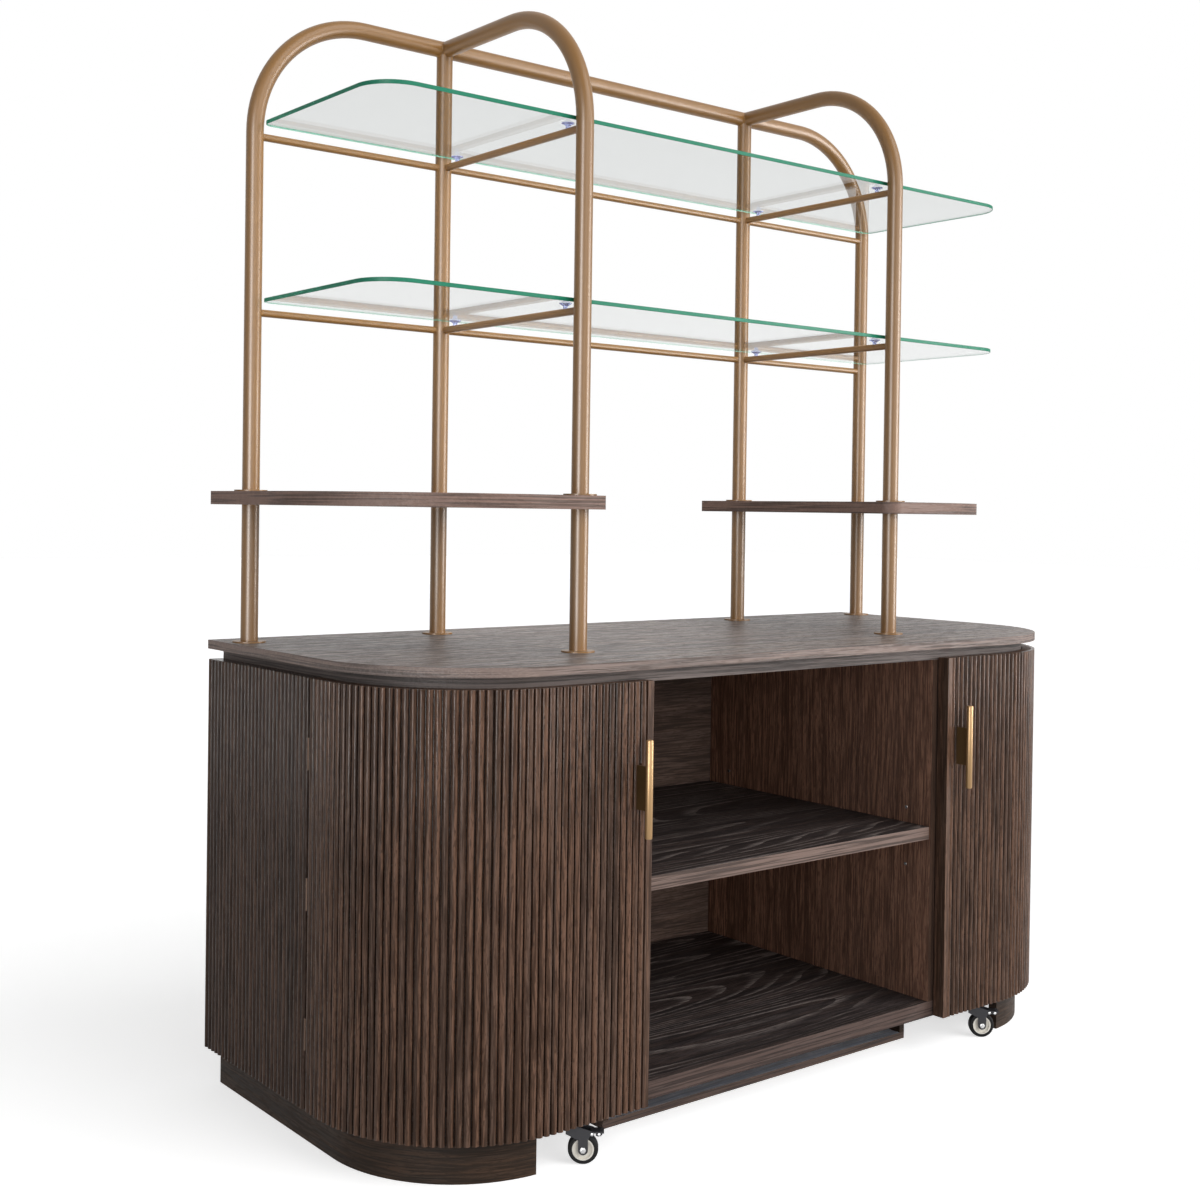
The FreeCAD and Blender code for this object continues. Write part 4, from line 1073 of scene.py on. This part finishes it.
@dataclass
class TubeHutch:
    """The bronze tube frame with its wooden side shelves."""

    bead: float = 1.0 * MM
    steps: int = 40
    rail_radius: float = 7.5 * MM
    tube_nodes: tuple[str, ...] = (
        "lower_posts", "rosettes", "post_studs", "left_end_tube", "right_end_tube", "top_rail",
        "left_front_arch", "right_front_arch", "left_inner_post", "right_inner_post", "shelf_rails")

    def dress(self) -> None:
        """Put the bronze on the tubes and the oak on the side shelves."""
        TUBE_BRONZE.dress(*self.tube_nodes)
        HUTCH_OAK.dress("left_side_shelf", "right_side_shelf")

    def seam(self, centre: Vector, along: Vector, across: Vector, thin: float, thick: float,
             span: Spot = (0.0, 2 * math.pi)) -> list[Vector]:
        """Return the line where a tube ends on another tube.

        Args:
            centre: Where the two axes meet.
            along: The direction in which the ending tube leaves.
            across: The direction of the other tube's axis.
            thin: The ending tube's radius.
            thick: The other tube's radius.
            span: The part of the turn round the ending tube, from the side of across.

        Returns:
            Points along the seam.
        """
        beside = along.cross(across)
        points = []
        for step in range(self.steps + 1):
            angle = span[0] + (span[1] - span[0]) * step / self.steps
            aside = thin * math.sin(angle)
            reach = math.sqrt(max(0.0, thick * thick - aside * aside))
            points.append(centre + across * thin * math.cos(angle) + beside * aside + along * reach)
        return points

    def build_welds(self) -> None:
        """Lay a weld bead on each seam between the tubes and the rails."""
        mesh = bmesh.new()
        low, high = box_corners("top_rail")
        radius = (high.z - low.z) / 2
        rear = (low.y + high.y) / 2
        ahead, aside, down = Vector((0, -1, 0)), Vector((1, 0, 0)), Vector((0, 0, -1))
        rails_low, rails_high = box_corners("shelf_rails")
        front = box_corners("left_front_arch")[0].y + radius
        for side in Side:
            inner = foot_of(*box_corners(f"{side.word}_inner_post")).x
            outer = side.value * (box_corners("right_end_tube")[1].x - radius)
            joint = Vector((inner, rear, high.z - radius))
            seams = [self.seam(joint, down, aside, radius, radius),
                     self.seam(joint, ahead, aside, radius, radius),
                     self.seam(joint, down, ahead, radius, radius, (-math.pi / 2, math.pi / 2))]
            for level in (rails_low.z + self.rail_radius, rails_high.z - self.rail_radius):
                at_inner = Vector((inner, rear, level))
                at_outer = Vector((outer, rear, level))
                at_front = Vector((inner, front, level))
                for post, leaving in ((at_inner, aside), (at_inner, -aside), (at_outer, -side.value * aside),
                                      (at_inner, ahead), (at_front, -ahead)):
                    seams.append(self.seam(post, leaving, down, self.rail_radius, radius))
            for line in seams:
                kept = [Vector((spot.x, spot.y, min(spot.z, high.z - self.bead))) for spot in line]
                swept(mesh, kept, self.bead)
        new_piece("weld_beads", mesh, "cabinet", TUBE_BRONZE)


@dataclass
class GlassShelf:
    """One glass shelf with arrised green edges, in place of its plain solid."""

    node: str
    front_corner: float = 80 * MM
    rear_corner: float = 20 * MM
    arris: float = 0.8 * MM
    corner_steps: int = 20

    def outline(self, inset: float) -> list[Spot]:
        """Return the plan of the shelf.

        Args:
            inset: How far the outline is drawn in.

        Returns:
            Points round the plan, anticlockwise from the front left corner.
        """
        low, high = box_corners(self.node)
        corners = ((low.x, low.y, self.front_corner, math.pi),
                   (high.x, low.y, self.front_corner, 1.5 * math.pi),
                   (high.x, high.y, self.rear_corner, 0.0),
                   (low.x, high.y, self.rear_corner, 0.5 * math.pi))
        middle = (low + high) / 2
        points = []
        for x, y, radius, start in corners:
            centre_x = x + math.copysign(radius, middle.x - x)
            centre_y = y + math.copysign(radius, middle.y - y)
            for step in range(self.corner_steps + 1):
                angle = start + 0.5 * math.pi * step / self.corner_steps
                points.append((centre_x + (radius - inset) * math.cos(angle),
                               centre_y + (radius - inset) * math.sin(angle)))
        return points

    def build(self) -> None:
        """Make the slab with clear faces and green edge faces."""
        low, high = (corner[2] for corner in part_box(self.node))
        mesh = bmesh.new()
        levels = ((low, self.arris), (low + self.arris, 0.0), (high - self.arris, 0.0), (high, self.arris))
        rings = [[mesh.verts.new((x, y, z)) for x, y in self.outline(inset)] for z, inset in levels]
        mesh.faces.new(rings[0])
        mesh.faces.new(rings[-1])
        for lower, upper in zip(rings, rings[1:]):
            for edge in bridge(mesh, lower, upper):
                edge.material_index = 1
        piece = new_piece(f"{self.node}_clear", mesh, "cabinet", SHELF_GLASS)
        piece.data.materials.append(GLASS_EDGE.material())
        piece.visible_shadow = False
        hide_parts(self.node)


@dataclass
class SuctionCups:
    """Clear cups that carry the glass on the rail arms."""

    lip: float = 1.2 * MM
    wall: float = 1.0 * MM
    steps: int = 28

    def build(self) -> None:
        """Turn one cup at each cup of the plain node and put them in its place."""
        mesh = bmesh.new()
        for low, high in self.places():
            self.add_cup(mesh, low, high)
        piece = new_piece("suction_cups_clear", mesh, "cabinet", CUP_CLEAR)
        piece.visible_shadow = False
        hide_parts("suction_cups")

    def places(self) -> list[tuple[Vector, Vector]]:
        """Return the lowest and highest corner of each loose part of the CAD node.

        Returns:
            The corners of each cup's box, in order of place.
        """
        work = bmesh.new()
        work.from_mesh(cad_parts["suction_cups"].data)
        bmesh.ops.remove_doubles(work, verts=work.verts[:], dist=0.01 * MM)
        left = set(work.verts)
        boxes = []
        while left:
            loose = [left.pop()]
            spots = []
            while loose:
                vertex = loose.pop()
                spots.append(vertex.co.copy())
                for edge in vertex.link_edges:
                    other = edge.other_vert(vertex)
                    if other in left:
                        left.remove(other)
                        loose.append(other)
            boxes.append(tuple(Vector([pick(spot[axis] for spot in spots) for axis in range(3)])
                               for pick in (min, max)))
        work.free()
        return sorted(boxes, key=lambda pair: tuple(round(value, 4) for value in pair[0]))

    def add_cup(self, mesh: Mesh, low: Vector, high: Vector) -> None:
        """Add one cup with a stem, a flared bell and a lip under the glass.

        Args:
            mesh: The mesh to add to.
            low: The lowest corner of the cup's box.
            high: Its highest corner.
        """
        rim = (high.x - low.x) / 2
        rise = high.z - low.z
        stem = rim * 0.36
        bell = rise - self.lip
        profile = [(0, 0), (stem, 0), (stem, rise * 0.42), (stem * 1.12, rise * 0.52),
                   (rim * 0.62, rise * 0.70), (rim * 0.9, bell - 0.4 * self.lip), (rim, bell),
                   (rim, rise - 0.3 * MM), (rim - self.wall, rise), (rim * 0.55, rise - self.wall),
                   (0, rise - 1.8 * self.wall)]
        turned(mesh, profile, Matrix.Translation(foot_of(low, high)), self.steps)


@dataclass(frozen=True)
class Lamp:
    """One sun lamp: the way its light travels, its strength and its spread in degrees."""

    name: str
    direction: Point
    strength: float
    spread: float


@dataclass(frozen=True)
class Strip:
    """A tall soft box that looks at the cabinet, from one height to another, and only puts a sheen on it."""

    name: str
    spot: Spot
    width: float
    watts: float
    low: float
    high: float


@dataclass
class Studio:
    """Floor, light and the camera at the photograph's angle."""

    station: Point = (-2.3238, -2.5982, 1.1908)
    yaw: float = math.radians(-38.7)
    pitch: float = math.radians(-0.6)
    roll: float = math.radians(0.8)
    focal_pixels: float = 1559.8
    axis_row: float = 526.5
    image_size: float = 1200.0
    sensor: float = 36.0
    view_reach: float = 200.0
    floor_half: float = 30.0
    floor_tone: Colour = (0.86, 0.86, 0.86)
    ambient: float = 0.19
    floor_lift: float = 0.66
    lamps: tuple[Lamp, ...] = (
        Lamp("key_sun", (-0.42, 0.80, -0.62), 1.62, 45.0), Lamp("fill_sun", (0.13, 0.98, -0.16), 1.0, 35.0))
    strips: tuple[Strip, ...] = (
        Strip("left_strip", (-3.5, -1.9), 1.2, 240.0, 0.1, 2.9),
        Strip("right_strip", (3.2, -3.0), 1.6, 240.0, 0.3, 2.9))

    def build(self) -> None:
        """Make the whole studio."""
        scene = bpy.context.scene
        scene.view_settings.view_transform = "Standard"
        self.build_world(scene)
        self.build_floor(scene)
        self.build_suns(scene)
        self.build_strips(scene)
        self.build_camera(scene)

    def seen_directly(self, graph: Graph) -> Socket:
        """Return 1 for rays that show the background: from the camera, a reflection or through glass.

        Args:
            graph: The graph of the floor's material or of the world.

        Returns:
            The mask's socket.
        """
        path = graph.add("LightPath")
        shown = graph.maths("MAXIMUM", path.outputs["Is Camera Ray"], path.outputs["Is Glossy Ray"])
        return graph.maths("MAXIMUM", shown, path.outputs["Is Transmission Ray"])

    def build_world(self, scene: bpy.types.Scene) -> None:
        """White to the eye, and a plain soft light on the object.

        Args:
            scene: The scene that it goes into.
        """
        world = bpy.data.worlds.new("studio_world")
        graph = Graph.fresh(world)
        shown = self.seen_directly(graph)
        level = graph.maths("MULTIPLY_ADD", shown, 1.0 - self.ambient, self.ambient)
        light = graph.add("Background", {"Color": (1.0, 1.0, 1.0), "Strength": level})
        graph.add("OutputWorld", {"Surface": light.outputs["Background"]})
        scene.world = world

    def build_floor(self, scene: bpy.types.Scene) -> None:
        """A pale floor that keeps the object's shadow.

        Args:
            scene: The scene that it goes into.
        """
        mesh = bmesh.new()
        half = self.floor_half
        plan = ((-half, -half), (half, -half), (half, half), (-half, half))
        mesh.faces.new([mesh.verts.new((x, y, 0.0)) for x, y in plan])
        data = bpy.data.meshes.new("studio_floor")
        mesh.to_mesh(data)
        mesh.free()
        floor = bpy.data.objects.new("studio_floor", data)
        scene.collection.objects.link(floor)
        paper = bpy.data.materials.new("floor_paper")
        graph = Graph.fresh(paper)
        shader = graph.add("BsdfPrincipled", {"Base Color": self.floor_tone, "Roughness": 0.9,
                                              "Specular IOR Level": 0.0, "Emission Color": (1.0, 1.0, 1.0)})
        lift = graph.times(self.seen_directly(graph), self.floor_lift)
        graph.feed(shader.inputs["Emission Strength"], lift)
        graph.add("OutputMaterial", {"Surface": shader.outputs["BSDF"]})
        data.materials.append(paper)

    def hang(self, scene: bpy.types.Scene, light: bpy.types.Light, direction: Vector) -> bpy.types.Object:
        """Put a lamp in the scene.

        Args:
            scene: The scene that it goes into.
            light: The lamp's light.
            direction: The way that the light travels.

        Returns:
            The lamp's object.
        """
        lamp = bpy.data.objects.new(light.name, light)
        lamp.rotation_mode = "QUATERNION"
        lamp.rotation_quaternion = direction.to_track_quat("-Z", "Y")
        scene.collection.objects.link(lamp)
        return lamp

    def build_suns(self, scene: bpy.types.Scene) -> None:
        """Wide soft lamps from the front.

        Args:
            scene: The scene that it goes into.
        """
        for lamp in self.lamps:
            light = bpy.data.lights.new(lamp.name, "SUN")
            light.energy = lamp.strength
            light.angle = math.radians(lamp.spread)
            self.hang(scene, light, Vector(lamp.direction))

    def build_strips(self, scene: bpy.types.Scene) -> None:
        """Tall soft boxes whose reflections run down the tubes and the reeds.

        Args:
            scene: The scene that it goes into.
        """
        for strip in self.strips:
            light = bpy.data.lights.new(strip.name, "AREA")
            light.shape = "RECTANGLE"
            light.size = strip.width
            light.size_y = strip.high - strip.low
            light.energy = strip.watts
            x, y = strip.spot
            panel = self.hang(scene, light, Vector((-x, -y, 0.0)))
            panel.location = (x, y, (strip.low + strip.high) / 2)
            panel.visible_camera = False
            panel.visible_diffuse = False
            panel.visible_transmission = False

    def build_camera(self, scene: bpy.types.Scene) -> None:
        """Stand the camera where the photograph was taken.

        Args:
            scene: The scene that it goes into.
        """
        ahead = math.cos(self.pitch)
        forward = Vector((-math.sin(self.yaw) * ahead, math.cos(self.yaw) * ahead, math.sin(self.pitch)))
        level = Vector((math.cos(self.yaw), math.sin(self.yaw), 0.0))
        up = level.cross(forward)
        right = math.cos(self.roll) * level + math.sin(self.roll) * up
        top = -math.sin(self.roll) * level + math.cos(self.roll) * up
        turn = Matrix((right, top, -forward)).transposed()
        lens = bpy.data.cameras.new("photo_camera")
        lens.sensor_width = self.sensor
        lens.lens = self.focal_pixels / self.image_size * self.sensor
        lens.shift_y = (self.axis_row - self.image_size / 2) / self.image_size
        lens.clip_end = self.view_reach
        camera = bpy.data.objects.new("photo_camera", lens)
        camera.matrix_world = Matrix.Translation(self.station) @ turn.to_4x4()
        scene.collection.objects.link(camera)
        scene.camera = camera


def main() -> None:
    """Build and dress every sub-assembly, then build the studio."""
    logging.basicConfig(level=logging.INFO, format="%(name)s: %(message)s")
    base = ReededBase()
    base.dress()
    base.build_sleeves()
    for side in Side:
        door = RollingDoor(side)
        door.dress()
        door.build_bar()
        caster = Caster(side)
        caster.dress()
        caster.build_bolt()
        caster.build_ears()
        caster.build_rivets()
    hutch = TubeHutch()
    hutch.dress()
    hutch.build_welds()
    for node in ("lower_glass_shelf", "upper_glass_shelf"):
        GlassShelf(node).build()
    SuctionCups().build()
    Studio().build()


if __name__ == "__main__":
    main()
